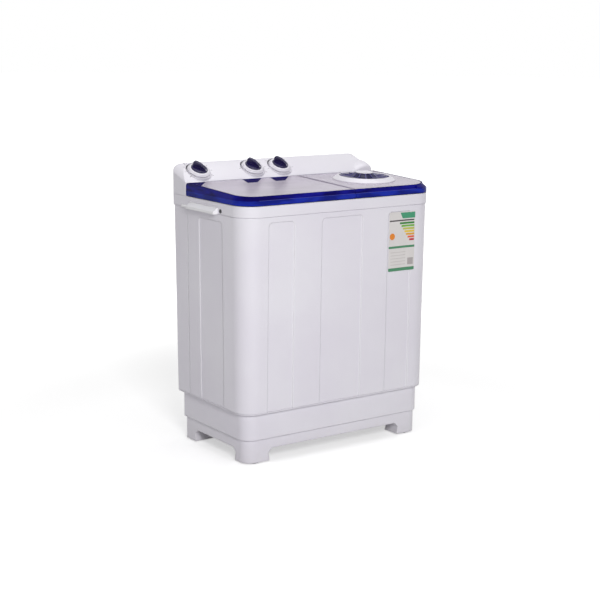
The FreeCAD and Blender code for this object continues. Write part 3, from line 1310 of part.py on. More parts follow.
def small_pulley_points(shaft_low):
    radius, middle, half = s.small_pulley, s.belt_level, s.pulley_height / 2
    mouth, seat, depth = half - 1.5, s.belt_height / 2 + 0.5, s.groove_depth
    return ((0, shaft_low), (s.motor_shaft, shaft_low), (s.motor_shaft, middle - half),
            (radius, middle - half), (radius, middle - mouth), (radius - depth, middle - seat),
            (radius - depth, middle + seat), (radius, middle + mouth), (radius, middle + half),
            (s.motor_shaft + 4, middle + half), (s.motor_shaft + 4, middle + half + 6),
            (0, middle + half + 6))


def make_belt():
    """The V-belt round both pulleys, clear of them by its own slack."""
    run_x, run_y = s.motor_x - s.wash_x, s.motor_y - s.wash_y
    length = root(run_x * run_x + run_y * run_y)
    body = body_of("DriveBelt")
    sketch = sketch_on(body, "XY_Plane", (0, 0, s.belt_level - s.belt_height / 2))
    for thickness in (flush, s.groove_depth - 1):
        large = s.large_pulley - s.groove_depth + s.belt_clearance + thickness
        small = s.small_pulley - s.groove_depth + s.belt_clearance + thickness
        lean = (large - small) / length
        rise = root(1 - lean * lean)
        draw(sketch, (length + small * lean, -small * rise, small), (length + small, 0, small),
             (length + small * lean, small * rise), (large * lean, large * rise, large),
             (0, large, large), (-large, 0, large), (0, -large, large),
             (large * lean, -large * rise))
    pad(body, sketch, s.belt_height)
    heading = slope(run_y, run_x)
    body.Placement = Placement(Vector(s.wash_x.value, s.wash_y.value, 0),
                               Rotation(Vector(0, 0, 1), heading.value))
    body.setExpression("Placement.Base.x", s.wash_x.formula)
    body.setExpression("Placement.Base.y", s.wash_y.formula)
    body.setExpression("Placement.Rotation.Angle", heading.formula)
    document.recompute()
    return node(body, "drive_belt")


# ---------------------------------------------------------------- spin drive
def at_spin(item):
    return place(item, s.spin_x, s.spin_y)


def make_spin_rotor():
    """The shaft, coupling, brake drum, nut and balance ring that turn with the basket."""
    shaft, top = s.shaft_radius, s.basket_floor + s.hub_rise
    collar = s.coupling_radius - 3
    seat = top - 3
    joint = s.coupling_low + s.coupling_height
    body = turned("SpinShaft", (0, joint - 12), (shaft, joint - 12), (shaft, seat - 8),
                  (collar, seat - 8), (collar, seat), (shaft, seat), (shaft, top + 12), (0, top + 12))
    node(at_spin(body), "spin_shaft")
    nut = turned("BasketNut", (shaft, top), (shaft + 6, top), (shaft + 6, top + 7),
                 (shaft + 4, top + 9), (shaft, top + 9))
    node(at_spin(nut), "basket_nut")
    coupling = turned("SpinCoupling", (0, s.spin_motor_top - 20), (s.motor_shaft, s.spin_motor_top - 20),
                      (s.motor_shaft, s.coupling_low), (s.coupling_radius, s.coupling_low),
                      (s.coupling_radius, joint), (shaft, joint), (shaft, joint - 12), (0, joint - 12))
    node(at_spin(coupling), "spin_coupling")
    radius, wall, deep = s.brake_radius, s.brake_wall, s.brake_height
    drum = turned("BrakeDrum", (shaft, joint), (s.coupling_radius, joint),
                  (s.coupling_radius, joint + deep - wall), (radius - wall, joint + deep - wall),
                  (radius - wall, joint), (radius, joint), (radius, joint + deep),
                  (shaft, joint + deep))
    node(at_spin(drum), "brake_drum")
    outer = s.basket_radius - s.basket_wall
    high = s.basket_top
    ring = turned("BalanceRing", (outer - s.balance_width, high - s.balance_height),
                  (outer, high - s.balance_height), (outer, high), (s.basket_radius, high),
                  (s.basket_radius, high + 3), (outer - s.balance_width + 3, high + 3),
                  (outer - s.balance_width, high))
    return node(at_spin(ring), "balance_ring")


def make_boot():
    """The rubber bellows that seals the spin tub round the turning shaft."""
    top, out = s.spin_floor - s.spin_wall, s.spin_sump + 8
    fold, wide, narrow = s.boot_fold, s.spin_sump + 2, s.spin_sump - 4
    neck, bore, sheet = s.boot_neck, s.shaft_radius + s.boot_clearance, 2.2
    low = top - 4
    body = turned("Boot", (out, top), (out, low), (wide, low), (wide, low - fold / 2),
                  (narrow, low - 1.5 * fold), (wide, low - 2.5 * fold), (narrow, low - 3.5 * fold),
                  (neck, low - 4.2 * fold), (neck, low - 6 * fold), (bore, low - 6 * fold),
                  (bore, low - 4.8 * fold), (neck - 2, low - 4.2 * fold + sheet + 1),
                  (narrow - sheet, low - 3.5 * fold + sheet), (wide - sheet, low - 2.5 * fold),
                  (narrow - sheet, low - 1.5 * fold), (wide - sheet, low - fold / 2 + 1),
                  (wide - sheet, top))
    return node(at_spin(body), "shaft_boot")


def make_spin_motor():
    plate_low = cabinet_bottom + s.spring_height
    plate = s.mount_plate
    rim = s.spin_motor_radius + s.motor_plate_rim
    body = turned("SpinMotorPlate", (0, plate_low), (rim, plate_low),
                  (rim, plate_low + plate), (0, plate_low + plate))
    pivot = sketch_on(body, "XY_Plane", (0, 0, plate_low + plate))
    ring_of(pivot, s.pivot_radius, 0, s.pivot_place)
    pad(body, pivot, s.lever_level + s.lever_height + 3 - plate_low - plate)
    rest = sketch_on(body, "XY_Plane", (0, 0, plate_low + plate))
    ring_of(rest, s.pivot_radius + 3, 0, s.pivot_place)
    pad(body, rest, s.lever_level - 0.5 - plate_low - plate)
    node(at_spin(body), "spin_motor_plate")
    motor = motor_body("SpinMotor", s.spin_motor_radius, plate_low + plate, s.spin_motor_height)
    node(at_spin(motor), "spin_motor")
    ribbed = [(0, cabinet_bottom)]
    radius, pitch = s.spring_radius, s.spring_height / 4
    for turn in range(4):
        low = cabinet_bottom + turn * pitch
        ribbed += [(radius, low), (radius, low + 0.6 * pitch), (radius - 3, low + 0.7 * pitch),
                   (radius - 3, low + pitch)]
    ribbed.append((0, plate_low))
    members = []
    for turn in range(3):
        angle = 90 + 120 * turn
        mount = turned("Mount", *ribbed)
        place(mount, s.spin_x + s.spring_circle * cosine(angle),
              s.spin_y + s.spring_circle * sine(angle))
        members.append(mount)
    return group("spin_motor_mounts", members)


def make_brake_lever():
    """The lever whose shoe comes up to the brake drum, on its own pivot."""
    body = body_of("BrakeLever")
    hub = sketch_on(body, "XY_Plane", (0, 0, s.lever_level))
    ring_of(hub, s.pivot_radius + s.lever_hub)
    pad(body, hub, s.lever_height)
    reach = s.pivot_place
    inner = s.brake_radius + s.shoe_gap
    outer = inner + s.shoe_thickness
    lean, width = s.shoe_angle, s.lever_arm
    hold = lean + s.shoe_span / 6
    near, back = outer - 0.4 * width, outer + 0.2 * width
    arm = sketch_on(body, "XY_Plane", (0, 0, s.lever_level))
    draw(arm, (-back * sine(hold), back * cosine(hold) - reach),
         (-near * sine(lean), near * cosine(lean) - reach),
         (width / 3, -width / 6), (-width / 2, width / 2))
    pad(body, arm, s.lever_height)
    shoe = sketch_on(body, "XY_Plane", (0, 0, s.lever_level))
    far = lean + s.shoe_span
    draw(shoe, (-outer * sine(lean), outer * cosine(lean) - reach, outer),
         (-outer * sine(far), outer * cosine(far) - reach),
         (-inner * sine(far), inner * cosine(far) - reach, -inner),
         (-inner * sine(lean), inner * cosine(lean) - reach))
    pad(body, shoe, s.lever_height)
    bore = sketch_on(body, "XY_Plane", (0, 0, s.lever_level))
    ring_of(bore, s.pivot_radius + s.shaft_clearance)
    pocket(body, bore, s.lever_height, back=True)
    return node(place(body, s.spin_x, s.spin_y + reach), "brake_lever")


# ---------------------------------------------------------------- drain
def pipe_bend(body, plane, shift, path, section_plane, section_shift, centre):
    """A hollow pipe along a path in one plane, from a round section at the path's start."""
    for kind, radius in (("AdditivePipe", s.pipe_bore + s.pipe_wall),
                         ("SubtractivePipe", s.pipe_bore)):
        spine = draw_path(sketch_on(body, plane, shift), *path)
        section = ring_of(sketch_on(body, section_plane, section_shift), radius, *centre)
        shape_with(body, kind, section, Spine=(spine, []))


def make_drain_valve():
    """The valve that lets both tubs out, with its seat at the bottom of the chamber."""
    wall, half = s.pipe_wall, s.valve_half
    low, high = s.valve_low, s.valve_high
    body = body_of("DrainValve")
    block = plan(sketch_on(body, "XY_Plane", (0, 0, low)), -half, half, -half, half)
    pad(body, block, high - low)
    chamber = draw(sketch_on(body, "XZ_Plane"), (0, low), (s.valve_seat, low),
                   (s.valve_seat, low + 2 * wall), (s.valve_bore, low + 2 * wall),
                   (s.valve_bore, high - 2 * wall), (s.link_radius + s.stem_clearance, high - 2 * wall),
                   (s.link_radius + s.stem_clearance, high), (0, high))
    shape_with(body, "Groove", chamber, ReferenceAxis=(chamber, ["V_Axis"]), Angle=360)
    level = s.pipe_level
    front = sketch_on(body, "XZ_Plane", (0, 0, half))
    pocket(body, ring_of(front, s.pipe_bore, 0, level), half)
    side = sketch_on(body, "YZ_Plane", (0, 0, half))
    pocket(body, ring_of(side, s.pipe_bore, 0, level), half)
    return node(place(body, s.knob_middle, s.valve_y), "drain_valve")


def make_drain_plunger():
    """The plug of the valve with the rod that the selector lifts."""
    seat, plug, stem = s.valve_low + 2 * s.pipe_wall, s.plug_radius, s.link_radius
    body = turned("DrainPlunger", (0, seat), (plug, seat), (plug, seat + 7), (stem + 4, seat + 10),
                  (stem, seat + 10), (stem, s.link_top - 6), (stem + 2, s.link_top - 6),
                  (stem + 2, s.link_top), (0, s.link_top))
    return node(place(body, s.knob_middle, s.valve_y), "drain_plunger")


def make_drain_pipes():
    level, bend, half = s.pipe_level, s.pipe_bend, s.valve_half
    under = s.well_floor - s.wash_wall
    wash = body_of("WashPipe")
    pipe_bend(wash, "YZ_Plane", (0, 0, s.knob_middle),
              ((s.wash_port_y, under), (s.wash_port_y, level + bend, bend),
               (s.wash_port_y + bend, level), (s.valve_y - half, level)),
              "XY_Plane", (0, 0, under), (s.knob_middle, s.wash_port_y))
    node(wash, "wash_drain_pipe")
    spin = body_of("SpinPipe")
    port_x, port_y = s.spin_x - s.spin_port_place, s.spin_y + s.spin_port_place
    under, join = s.spin_floor - s.spin_wall, port_y + 2 * bend
    pipe_bend(spin, "YZ_Plane", (0, 0, port_x),
              ((port_y, under), (port_y, level + bend, bend), (port_y + bend, level),
               (join, level)), "XY_Plane", (0, 0, under), (port_x, port_y))
    pipe_bend(spin, "XY_Plane", (0, 0, level),
              ((port_x, join), (port_x, s.valve_y - bend, bend), (port_x - bend, s.valve_y),
               (s.knob_middle + half, s.valve_y)), "XZ_Plane", (0, 0, -join), (port_x, level))
    node(spin, "spin_drain_pipe")
    out = body_of("OutletPipe")
    pipe_bend(out, "YZ_Plane", (0, 0, s.knob_middle),
              ((s.valve_y, s.valve_low), (s.valve_y, s.outlet_level + bend, bend),
               (s.valve_y + bend, s.outlet_level), (half_depth - 1, s.outlet_level)),
              "XY_Plane", (0, 0, s.valve_low), (s.knob_middle, s.valve_y))
    return node(out, "outlet_pipe")


# ---------------------------------------------------------------- small parts
def tub_rear_at(z):
    """Where the wash tub's rear wall stands at a height, on its inner face."""
    run = s.wash_draft * (s.deck_under - z) / (s.deck_under - s.wash_floor)
    return s.wash_y + s.wash_half_y - run


def make_tub_fittings():
    """The lint filter and the overflow grille on the wash tub's rear wall."""
    body = body_of("LintFilter")
    low, high, thick = s.filter_low, s.filter_high, s.filter_thick
    side = sketch_on(body, "YZ_Plane", (0, 0, s.filter_x - s.filter_width / 2))
    draw(side, (tub_rear_at(low) - 0.5 * thick, low), (tub_rear_at(low), low),
         (tub_rear_at(high), high), (tub_rear_at(high) - thick, high),
         (tub_rear_at(low) - thick, low + thick))
    pad(body, side, s.filter_width)
    for row in range(5):
        slot = sketch_on(body, "XZ_Plane", (0, 0, -tub_rear_at(low) + thick + 3))
        level = low + 2 * thick + row * (high - low - 3 * thick) / 5
        reach = s.filter_width / 2 - 7
        plan(slot, s.filter_x - reach, s.filter_x + reach, level, level + 8)
        pocket(body, slot, 6)
    node(body, "lint_filter")
    grille = body_of("OverflowGrille")
    low, high, sheet = s.grille_low, s.grille_high, s.grille_sheet
    side = sketch_on(grille, "YZ_Plane", (0, 0, s.grille_x - s.grille_width / 2))
    draw(side, (tub_rear_at(low) - sheet, low), (tub_rear_at(low), low),
         (tub_rear_at(high), high), (tub_rear_at(high) - sheet, high))
    pad(grille, side, s.grille_width)
    for row in range(4):
        slot = sketch_on(grille, "XZ_Plane", (0, 0, -tub_rear_at(low) + 3 * sheet))
        level = low + 7 + row * (high - low - 8) / 4
        reach = s.grille_width / 2 - 6
        plan(slot, s.grille_x - reach, s.grille_x + reach, level, level + 6)
        pocket(grille, slot, 6 * sheet)
    return node(grille, "overflow_grille")


def wall_rear_at(z):
    """Where the cabinet's rear face stands at a height."""
    return cabinet_half_y - s.cabinet_draft * (s.cabinet_top - z) / (s.cabinet_top - cabinet_bottom)


def make_gland():
    level, neck = s.outlet_level, s.gland_neck
    face = wall_rear_at(level + neck + 3)
    back = face - s.cabinet_wall - 1.5
    body = body_of("Gland")
    for start, radius, length in ((face, neck + 3, s.gland_proud), (back, neck, face - back),
                                  (back - 5, neck + 4, Size.of(5))):
        section = sketch_on(body, "XZ_Plane", (0, 0, -start))
        pad(body, ring_of(section, radius, s.gland_x, level), length, back=True)
    bore = sketch_on(body, "XZ_Plane", (0, 0, -back + 6))
    pocket(body, ring_of(bore, s.cord_radius, s.gland_x, level), face + s.gland_proud - back + 7)
    return node(body, "mains_gland")


def make_capacitor():
    radius, low, high = s.capacitor_radius, cabinet_bottom, cabinet_bottom + s.capacitor_height
    body = turned("Capacitor", (0, low), (radius + 4, low), (radius + 4, low + 8), (radius, low + 8),
                  (radius, high - 3), (radius - 3, high), (0, high))
    for side in (-1, 1):
        blade = sketch_on(body, "XY_Plane", (0, 0, high))
        plan(blade, side * 7 - 1, side * 7 + 1, Size.of(-3), Size.of(3))
        pad(body, blade, 7)
    return node(place(body, s.capacitor_x, s.capacitor_y), "capacitor")


def make_screws():
    """The screw heads of the back cover and, with their rings, of the top frame's sides."""
    members = []
    for level in (s.cover_bottom + s.screw_inset, (s.cover_bottom + s.cover_top) / 2,
                  s.cover_top - s.screw_inset):
        face = wall_rear_at(level + s.screw_head) + s.cover_sheet
        for side in (-1, 1):
            head = body_of("CoverScrew")
            section = sketch_on(head, "XZ_Plane", (0, 0, -face))
            ring_of(section, s.screw_head, side * (s.cover_half_width - s.cover_lap / 2), level)
            pad(head, section, s.screw_proud, back=True)
            members.append(head)
    for side in (-1, 1):
        head = body_of("RimScrew")
        for radius, length in ((s.screw_head + 3, 1), (s.screw_head, s.screw_proud + 1)):
            section = sketch_on(head, "YZ_Plane", (0, 0, side * half_width))
            ring_of(section, radius, s.rim_screw_y, s.rim_screw_z)
            pad(head, section, length, back=side < 0)
        members.append(head)
    return group("case_screws", members)


def finish():
    """Check every object, then write each sub-part to its own file."""
    document.recompute()
    for item in document.Objects:
        if "Invalid" in item.State or "Error" in item.State:
            raise ValueError(f"{item.Label} is in error: {item.State}")
    os.makedirs("parts", exist_ok=True)
    for item in nodes:
        shape = item.Shape
        if shape.isNull() or not shape.isValid() or not shape.Solids:
            raise ValueError(f"{item.Label} has no valid solid")
        shape.exportStep(f"parts/{item.Label}.step")
        print(f"{item.Label:26s} {len(shape.Solids)} solid(s) {shape.Volume / 1000:10.1f} cm3")


make_base()
make_foot_pads()
make_cabinet()
make_back_cover()
make_top_frame()
make_handle("carry_handle_left", -1)
make_handle("carry_handle_right", 1)
make_wash_tub()
make_spin_tub()
make_basket()
make_wash_lid()
make_spin_lid()
make_window()
make_pins()
make_console()
make_knobs()
make_controls()
make_inlets()
make_pulsator()
make_gearbox()
make_wash_motor()
make_belt()
make_spin_rotor()
make_boot()
make_spin_motor()
make_brake_lever()
make_drain_valve()
make_drain_plunger()
make_drain_pipes()
make_tub_fittings()
make_gland()
make_capacitor()
make_screws()
finish()
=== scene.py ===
"""Twin tub washer: moulded finishes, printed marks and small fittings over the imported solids."""
import json
import math

import bpy
from mathutils import Matrix, Vector


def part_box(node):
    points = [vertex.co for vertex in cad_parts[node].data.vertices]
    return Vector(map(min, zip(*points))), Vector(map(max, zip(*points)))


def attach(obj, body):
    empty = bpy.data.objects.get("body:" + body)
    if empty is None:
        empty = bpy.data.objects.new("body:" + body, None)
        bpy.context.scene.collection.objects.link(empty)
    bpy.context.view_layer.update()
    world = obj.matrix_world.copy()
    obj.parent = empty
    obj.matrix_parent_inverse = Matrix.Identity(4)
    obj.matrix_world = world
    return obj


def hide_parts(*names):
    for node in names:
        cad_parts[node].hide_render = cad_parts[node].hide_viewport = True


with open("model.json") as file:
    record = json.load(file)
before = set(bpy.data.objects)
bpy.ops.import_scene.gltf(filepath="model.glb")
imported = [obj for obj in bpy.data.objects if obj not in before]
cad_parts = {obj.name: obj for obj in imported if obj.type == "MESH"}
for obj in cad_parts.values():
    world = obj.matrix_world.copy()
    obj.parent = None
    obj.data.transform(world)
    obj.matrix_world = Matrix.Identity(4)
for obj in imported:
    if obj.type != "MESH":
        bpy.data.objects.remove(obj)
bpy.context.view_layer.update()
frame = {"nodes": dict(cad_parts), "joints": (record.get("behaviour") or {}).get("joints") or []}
DEGREE = math.pi / 180
MM = 0.001
SMOOTH_ANGLE = 35 * DEGREE


# ---------------------------------------------------------------- places on the solids

cabinet_low, cabinet_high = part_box("cabinet")
spin_lid_low, spin_lid_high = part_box("spin_lid")
ring_low, ring_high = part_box("spin_window_ring")
window_low, window_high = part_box("spin_window")

front_draft = 5.6 * MM / (cabinet_high.z - cabinet_low.z)
lid_ledge = spin_lid_low.z + 15 * MM
lid_tier_inset = 6 * MM
lid_corner_radius = 91 * MM
lid_slope = 0.0396
hinge_to_lid_top = 10 * MM
wash_panel_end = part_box("wash_lid_panel")[1].x
rear_corner_x, rear_corner_y = 295 * MM, 60 * MM
grip_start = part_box("top_frame")[1].x
rim_screw_y, rim_screw_z = -82 * MM, 798 * MM
dial_tilt = 29 * DEGREE


def front_y(z):
    """Where the drafted front wall of the cabinet stands at a height."""
    return cabinet_low.y + front_draft * (cabinet_high.z - z)


def joint_place(joint_name):
    return Vector(next(joint["pos_m"] for joint in frame["joints"] if joint["name"] == joint_name))


def dial_place(joint_name):
    """At a dial's pivot, square to the console's sloping face."""
    return Matrix.Translation(joint_place(joint_name)) @ Matrix.Rotation(dial_tilt, 4, "X")


def spin_lid_place():
    """On the lid's sloping top, at the middle of the ring."""
    hinge = joint_place("spin_lid_hinge")
    x, y = (ring_low.x + ring_high.x) / 2, (ring_low.y + ring_high.y) / 2
    top = hinge.z + hinge_to_lid_top + (y - hinge.y) * lid_slope
    return Matrix.Translation((x, y, top)) @ Matrix.Rotation(math.atan(lid_slope), 4, "X")


# ---------------------------------------------------------------- camera and lamps

def place_camera():
    """A long lens in front of the left corner, looking a little down."""
    turn, dip, roll = 35.84 * DEGREE, 11.47 * DEGREE, 0.6 * DEGREE
    lens = bpy.data.cameras.new("camera")
    lens.lens = 84.69
    lens.sensor_width = 36
    lens.shift_x = -0.0266
    lens.shift_y = 0.005
    camera = bpy.data.objects.new("camera", lens)
    bpy.context.scene.collection.objects.link(camera)
    camera.matrix_world = (Matrix.Translation((-2.6606, -3.7539, 1.3889))
                           @ Matrix.Rotation(-turn, 4, "Z")
                           @ Matrix.Rotation(90 * DEGREE - dip, 4, "X")
                           @ Matrix.Rotation(roll, 4, "Z"))
    bpy.context.scene.camera = camera


def soft_lamp(name, place, aim, width, watts):
    """A square soft box at place, turned to face aim."""
    lamp = bpy.data.lights.new(name, "AREA")
    lamp.size = width
    lamp.energy = watts
    item = bpy.data.objects.new(name, lamp)
    bpy.context.scene.collection.objects.link(item)
    item.location = place
    item.rotation_euler = (Vector(aim) - Vector(place)).to_track_quat("-Z", "Y").to_euler()


# ---------------------------------------------------------------- shader maths

def sums(operation, swapped=False):
    """A Python operator of Signal, which adds one Math node."""
    def apply(signal, other):
        terms = (other, signal) if swapped else (signal, other)
        return signal.nodes.math(operation, *terms)
    return apply


class Signal:
    """A socket of a node tree. Sums and products on it add the tree's Math nodes."""

    __add__ = sums("ADD")
    __radd__ = sums("ADD", swapped=True)
    __sub__ = sums("SUBTRACT")
    __rsub__ = sums("SUBTRACT", swapped=True)
    __mul__ = sums("MULTIPLY")
    __rmul__ = sums("MULTIPLY", swapped=True)
    __truediv__ = sums("DIVIDE")
    __gt__ = sums("GREATER_THAN")
    __lt__ = sums("LESS_THAN")
    __mod__ = sums("FLOORED_MODULO")
    greater = sums("MAXIMUM")

    def __init__(self, nodes, socket):
        self.nodes = nodes
        self.socket = socket

    def __abs__(self):
        return self.nodes.math("ABSOLUTE", self)

    def root(self):
        return self.nodes.math("SQRT", self)

    def cosine(self):
        return self.nodes.math("COSINE", self)

    def between(self, low, high):
        return (self > low) * (self < high)

    def ramp(self, start, end):
        """0 before start, 1 after end, and smooth between them."""
        made = self.nodes.node("ShaderNodeMapRange", {"interpolation_type": "SMOOTHSTEP"},
                               {"Value": self, "From Min": start, "From Max": end})
        return made[0]


class Outputs:
    """The outputs of one node, by name, place or slice, as signals."""

    def __init__(self, nodes, made):
        self.nodes = nodes
        self.made = made

    def __getitem__(self, key):
        if isinstance(key, slice):
            return [Signal(self.nodes, socket) for socket in self.made.outputs[key]]
        return Signal(self.nodes, self.made.outputs[key])


def colour4(colour):
    return colour if isinstance(colour, Signal) else (*colour, 1.0)


class Nodes:
    """The node tree of a material or of the world."""

    def __init__(self, owner):
        owner.use_nodes = True
        self.owner = owner
        self.tree = owner.node_tree
        self.tree.nodes.clear()

    def node(self, kind, settings=None, sockets=None):
        """Adds a node: its settings first, then the values or links of its sockets. Returns its outputs."""
        made = self.tree.nodes.new(kind)
        for name, value in (settings or {}).items():
            setattr(made, name, value)
        for name, value in (sockets or {}).items():
            if isinstance(value, Signal):
                self.tree.links.new(value.socket, made.inputs[name])
            else:
                made.inputs[name].default_value = value
        return Outputs(self, made)

    def math(self, operation, *terms):
        return self.node("ShaderNodeMath", {"operation": operation}, dict(enumerate(terms)))[0]

    def mix(self, share, first, second):
        """The first colour where share is 0 and the second where it is 1."""
        made = self.node("ShaderNodeMix", {"data_type": "RGBA"},
                         {0: share, 6: colour4(first), 7: colour4(second)})
        return made[2]

    def seen_rays(self):
        """1 for what the camera sees, straight, in a gloss or through glass."""
        path = self.node("ShaderNodeLightPath")
        gloss_or_glass = path["Is Glossy Ray"].greater(path["Is Transmission Ray"])
        return path["Is Camera Ray"].greater(gloss_or_glass)


class Finish(Nodes):
    """A procedural material, read in the row frame's metres."""

    def __init__(self, name):
        super().__init__(bpy.data.materials.new(name))
        source = self.node("ShaderNodeTexCoord")
        self.place = source["Object"]
        self.x, self.y, self.z = self.node("ShaderNodeSeparateXYZ", sockets={0: self.place})[:3]
        self.facing = self.node("ShaderNodeSeparateXYZ", sockets={0: source["Normal"]})[:3]

    def noise(self, scale, detail=2, stretch=(1, 1, 1)):
        where = self.node("ShaderNodeMapping", sockets={"Vector": self.place, "Scale": stretch})[0]
        made = self.node("ShaderNodeTexNoise",
                         sockets={"Vector": where, "Scale": scale, "Detail": detail})
        return made["Fac"]

    def relief(self, height, depth, strength, under=None):
        sockets = {"Height": height, "Distance": depth, "Strength": strength}
        if under:
            sockets["Normal"] = under
        return self.node("ShaderNodeBump", sockets=sockets)[0]

    def soft_edges(self, radius):
        """Shades sharp edges as if they were rounded to the radius."""
        return self.node("ShaderNodeBevel", {"samples": 8}, {"Radius": radius})[0]

    def surface(self, colour, rough, normal=None, **constants):
        """Closes the finish with one Principled surface. Constants are named with _ for a space."""
        sockets = {"Base Color": colour4(colour), "Roughness": rough}
        if normal:
            sockets["Normal"] = normal
        sockets |= {name.replace("_", " "): value for name, value in constants.items()}
        shader = self.node("ShaderNodeBsdfPrincipled", sockets=sockets)[0]
        self.node("ShaderNodeOutputMaterial", sockets={"Surface": shader})
        return self.owner


# ---------------------------------------------------------------- finishes

def moulded_shell():
    """Glossy white plastic of the cabinet and console: painted highlights on edges turned to the left and
    on the side grips, and a dusty foot.
    """
    finish = Finish("white_shell_gloss")
    cloud = finish.noise(3.5, 3)
    grain = finish.noise(420)
    tone = finish.mix(cloud.ramp(0.3, 0.7), (0.79, 0.76, 0.835), (0.83, 0.81, 0.87))
    dust = (1 - finish.z.ramp(0.0, 0.11)) * finish.noise(38, 4) * 0.30
    tone = finish.mix(dust, tone, (0.60, 0.57, 0.56))
    # Painted light: the grips standing out past the top frame are lightened as if lit.
    painted_grip_light = abs(finish.x) > grip_start
    tone = finish.mix(painted_grip_light, tone, (0.95, 0.94, 0.97))
    rounded = finish.soft_edges(5 * MM)
    # Painted highlight: below the cabinet's top, where the rounded normal leans further to -x than the
    # face, the colour is lightened.
    lean = finish.facing[0] - finish.node("ShaderNodeSeparateXYZ", sockets={0: rounded})[0]
    painted_edge_highlight = lean.ramp(0.12, 0.45) * (finish.z < cabinet_high.z)
    tone = finish.mix(painted_edge_highlight * 0.8, tone, (0.98, 0.97, 1.0))
    rough = 0.28 + 0.10 * grain + 0.25 * dust
    ripple = finish.relief(finish.noise(55, 1), 0.4 * MM, 0.2, rounded)
    return finish.surface(tone, rough, finish.relief(grain, 0.06 * MM, 0.3, ripple), IOR=1.48)


def tub_resin():
    finish = Finish("tub_resin")
    grain = finish.noise(700)
    tone = finish.mix(finish.noise(6, 3), (0.80, 0.80, 0.82), (0.88, 0.88, 0.89))
    relief = finish.relief(grain, 0.05 * MM, 0.4, finish.soft_edges(1.2 * MM))
    return finish.surface(tone, 0.36 + 0.12 * grain, relief, IOR=1.49)


panel_lilac = (0.41, 0.365, 0.44)


def tinted_lid():
    """Clear deep blue plastic of the lid shells, brighter on the lower step of the skirt, with painted
    shade darkening the faces that look up and a painted highlight along the top of the ledge.

    Beside the seam and behind the spin panel, the flat top is the colour of the panels."""
    finish = Finish("blue_lid_tint")
    streak = finish.noise(9, 3, (1, 1, 4)).ramp(0.42, 0.62)
    tone = finish.mix(streak, (0.003, 0.001, 0.10), (0.008, 0.008, 0.27))
    step = 1 - finish.z.ramp(lid_ledge - 1 * MM, lid_ledge + 1 * MM)
    tone = finish.mix(step * (0.30 + 0.35 * streak), tone, (0.018, 0.045, 0.46))
    flat = finish.facing[2].ramp(0.6, 0.9)
    # Painted shade: the faces that look up are darkened to a deeper navy.
    tone = finish.mix(flat, tone, (0.006, 0.002, 0.075))
    beside_seam = finish.x.between(wash_panel_end - 1 * MM, wash_panel_end + 19 * MM)
    behind_panel = (finish.x > rear_corner_x) * (finish.y > rear_corner_y)
    sheet = flat * (finish.z > lid_ledge + 4 * MM) * beside_seam.greater(behind_panel)
    tone = finish.mix(sheet * 0.9, tone, panel_lilac)
    # Painted highlight: the top of the ledge is lightened to a bright blue.
    painted_ledge_highlight = flat * finish.z.between(lid_ledge - 1 * MM, lid_ledge + 1 * MM)
    tone = finish.mix(painted_ledge_highlight * 0.55, tone, (0.20, 0.22, 0.75))
    rough = 0.16 + 0.5 * flat + 0.06 * finish.noise(60)
    return finish.surface(tone, rough, finish.soft_edges(1.4 * MM), IOR=1.45,
                          Specular_IOR_Level=0.05)


def panel_sheet():
    """Grey lilac acrylic sheet let into each lid, pale along its cut edges."""
    finish = Finish("lilac_panel_sheet")
    cloud = finish.noise(4, 3, (1, 2, 1))
    tone = finish.mix(cloud.ramp(0.35, 0.65), panel_lilac, (0.48, 0.425, 0.53))
    edge = 1 - finish.facing[2].ramp(0.3, 0.7)
    tone = finish.mix(edge * 0.85, tone, (0.86, 0.84, 0.90))
    return finish.surface(tone, 0.22 + 0.05 * finish.noise(240), finish.soft_edges(0.6 * MM),
                          IOR=1.46, Specular_IOR_Level=0.45)


def window_tint():
    """Deep blue window of the spin lid, with faint moulded rays and painted reflections in three pale
    patches round its border.
    """
    finish = Finish("blue_window_tint")
    centre, reach = (window_low + window_high) / 2, (window_high.x - window_low.x) / 2
    across, along = finish.x - centre.x, finish.y - centre.y
    angle = finish.math("ARCTAN2", along, across)
    radius = (across * across + along * along).root()
    tone = finish.mix(finish.noise(24), (0.002, 0.001, 0.030), (0.008, 0.004, 0.075))
    ray = (angle * 12).cosine().ramp(0.86, 0.98) * radius.between(0.50 * reach, 0.97 * reach)
    tone = finish.mix(ray * 0.3, tone, (0.22, 0.20, 0.45))
    # Painted reflection: three pale patches round the border, set by angle about the middle.
    painted_reflection_patches = (angle * 3 + 0.4).cosine().ramp(0.2, 0.9) * radius.ramp(0.62 * reach, 0.95 * reach)
    tone = finish.mix(painted_reflection_patches * 0.22, tone, (0.30, 0.28, 0.36))
    return finish.surface(tone, 0.14, finish.soft_edges(1.5 * MM), IOR=1.46,
                          Specular_IOR_Level=0.15)


def rib_tint():
    finish = Finish("pale_blue_rib")
    tone = finish.mix(finish.noise(60), (0.09, 0.08, 0.24), (0.16, 0.14, 0.34))
    return finish.surface(tone, 0.25, IOR=1.46, Specular_IOR_Level=0.15)


def knob_plastic():
    finish = Finish("navy_knob_gloss")
    tone = finish.mix(finish.noise(30), (0.006, 0.003, 0.035), (0.014, 0.008, 0.080))
    return finish.surface(tone, 0.20 + 0.1 * finish.noise(500), finish.soft_edges(1.5 * MM),
                          IOR=1.48, Specular_IOR_Level=0.45)


def bead_white():
    finish = Finish("pointer_bead_white")
    tone = finish.mix(finish.noise(300), (0.62, 0.60, 0.66), (0.74, 0.72, 0.78))
    return finish.surface(tone, 0.25, IOR=1.5)


def print_grey():
    finish = Finish("printed_grey")
    tone = finish.mix(finish.noise(200), (0.20, 0.19, 0.21), (0.30, 0.29, 0.31))
    return finish.surface(tone, 0.4, IOR=1.45)


def brushed_steel():
    finish = Finish("brushed_steel")
    brush = finish.noise(90, 3, (1, 1, 14))
    tone = finish.mix(brush, (0.52, 0.53, 0.55), (0.68, 0.69, 0.70))
    return finish.surface(tone, 0.22 + 0.18 * brush, finish.relief(brush, 0.1 * MM, 0.25),
                          Metallic=1.0)


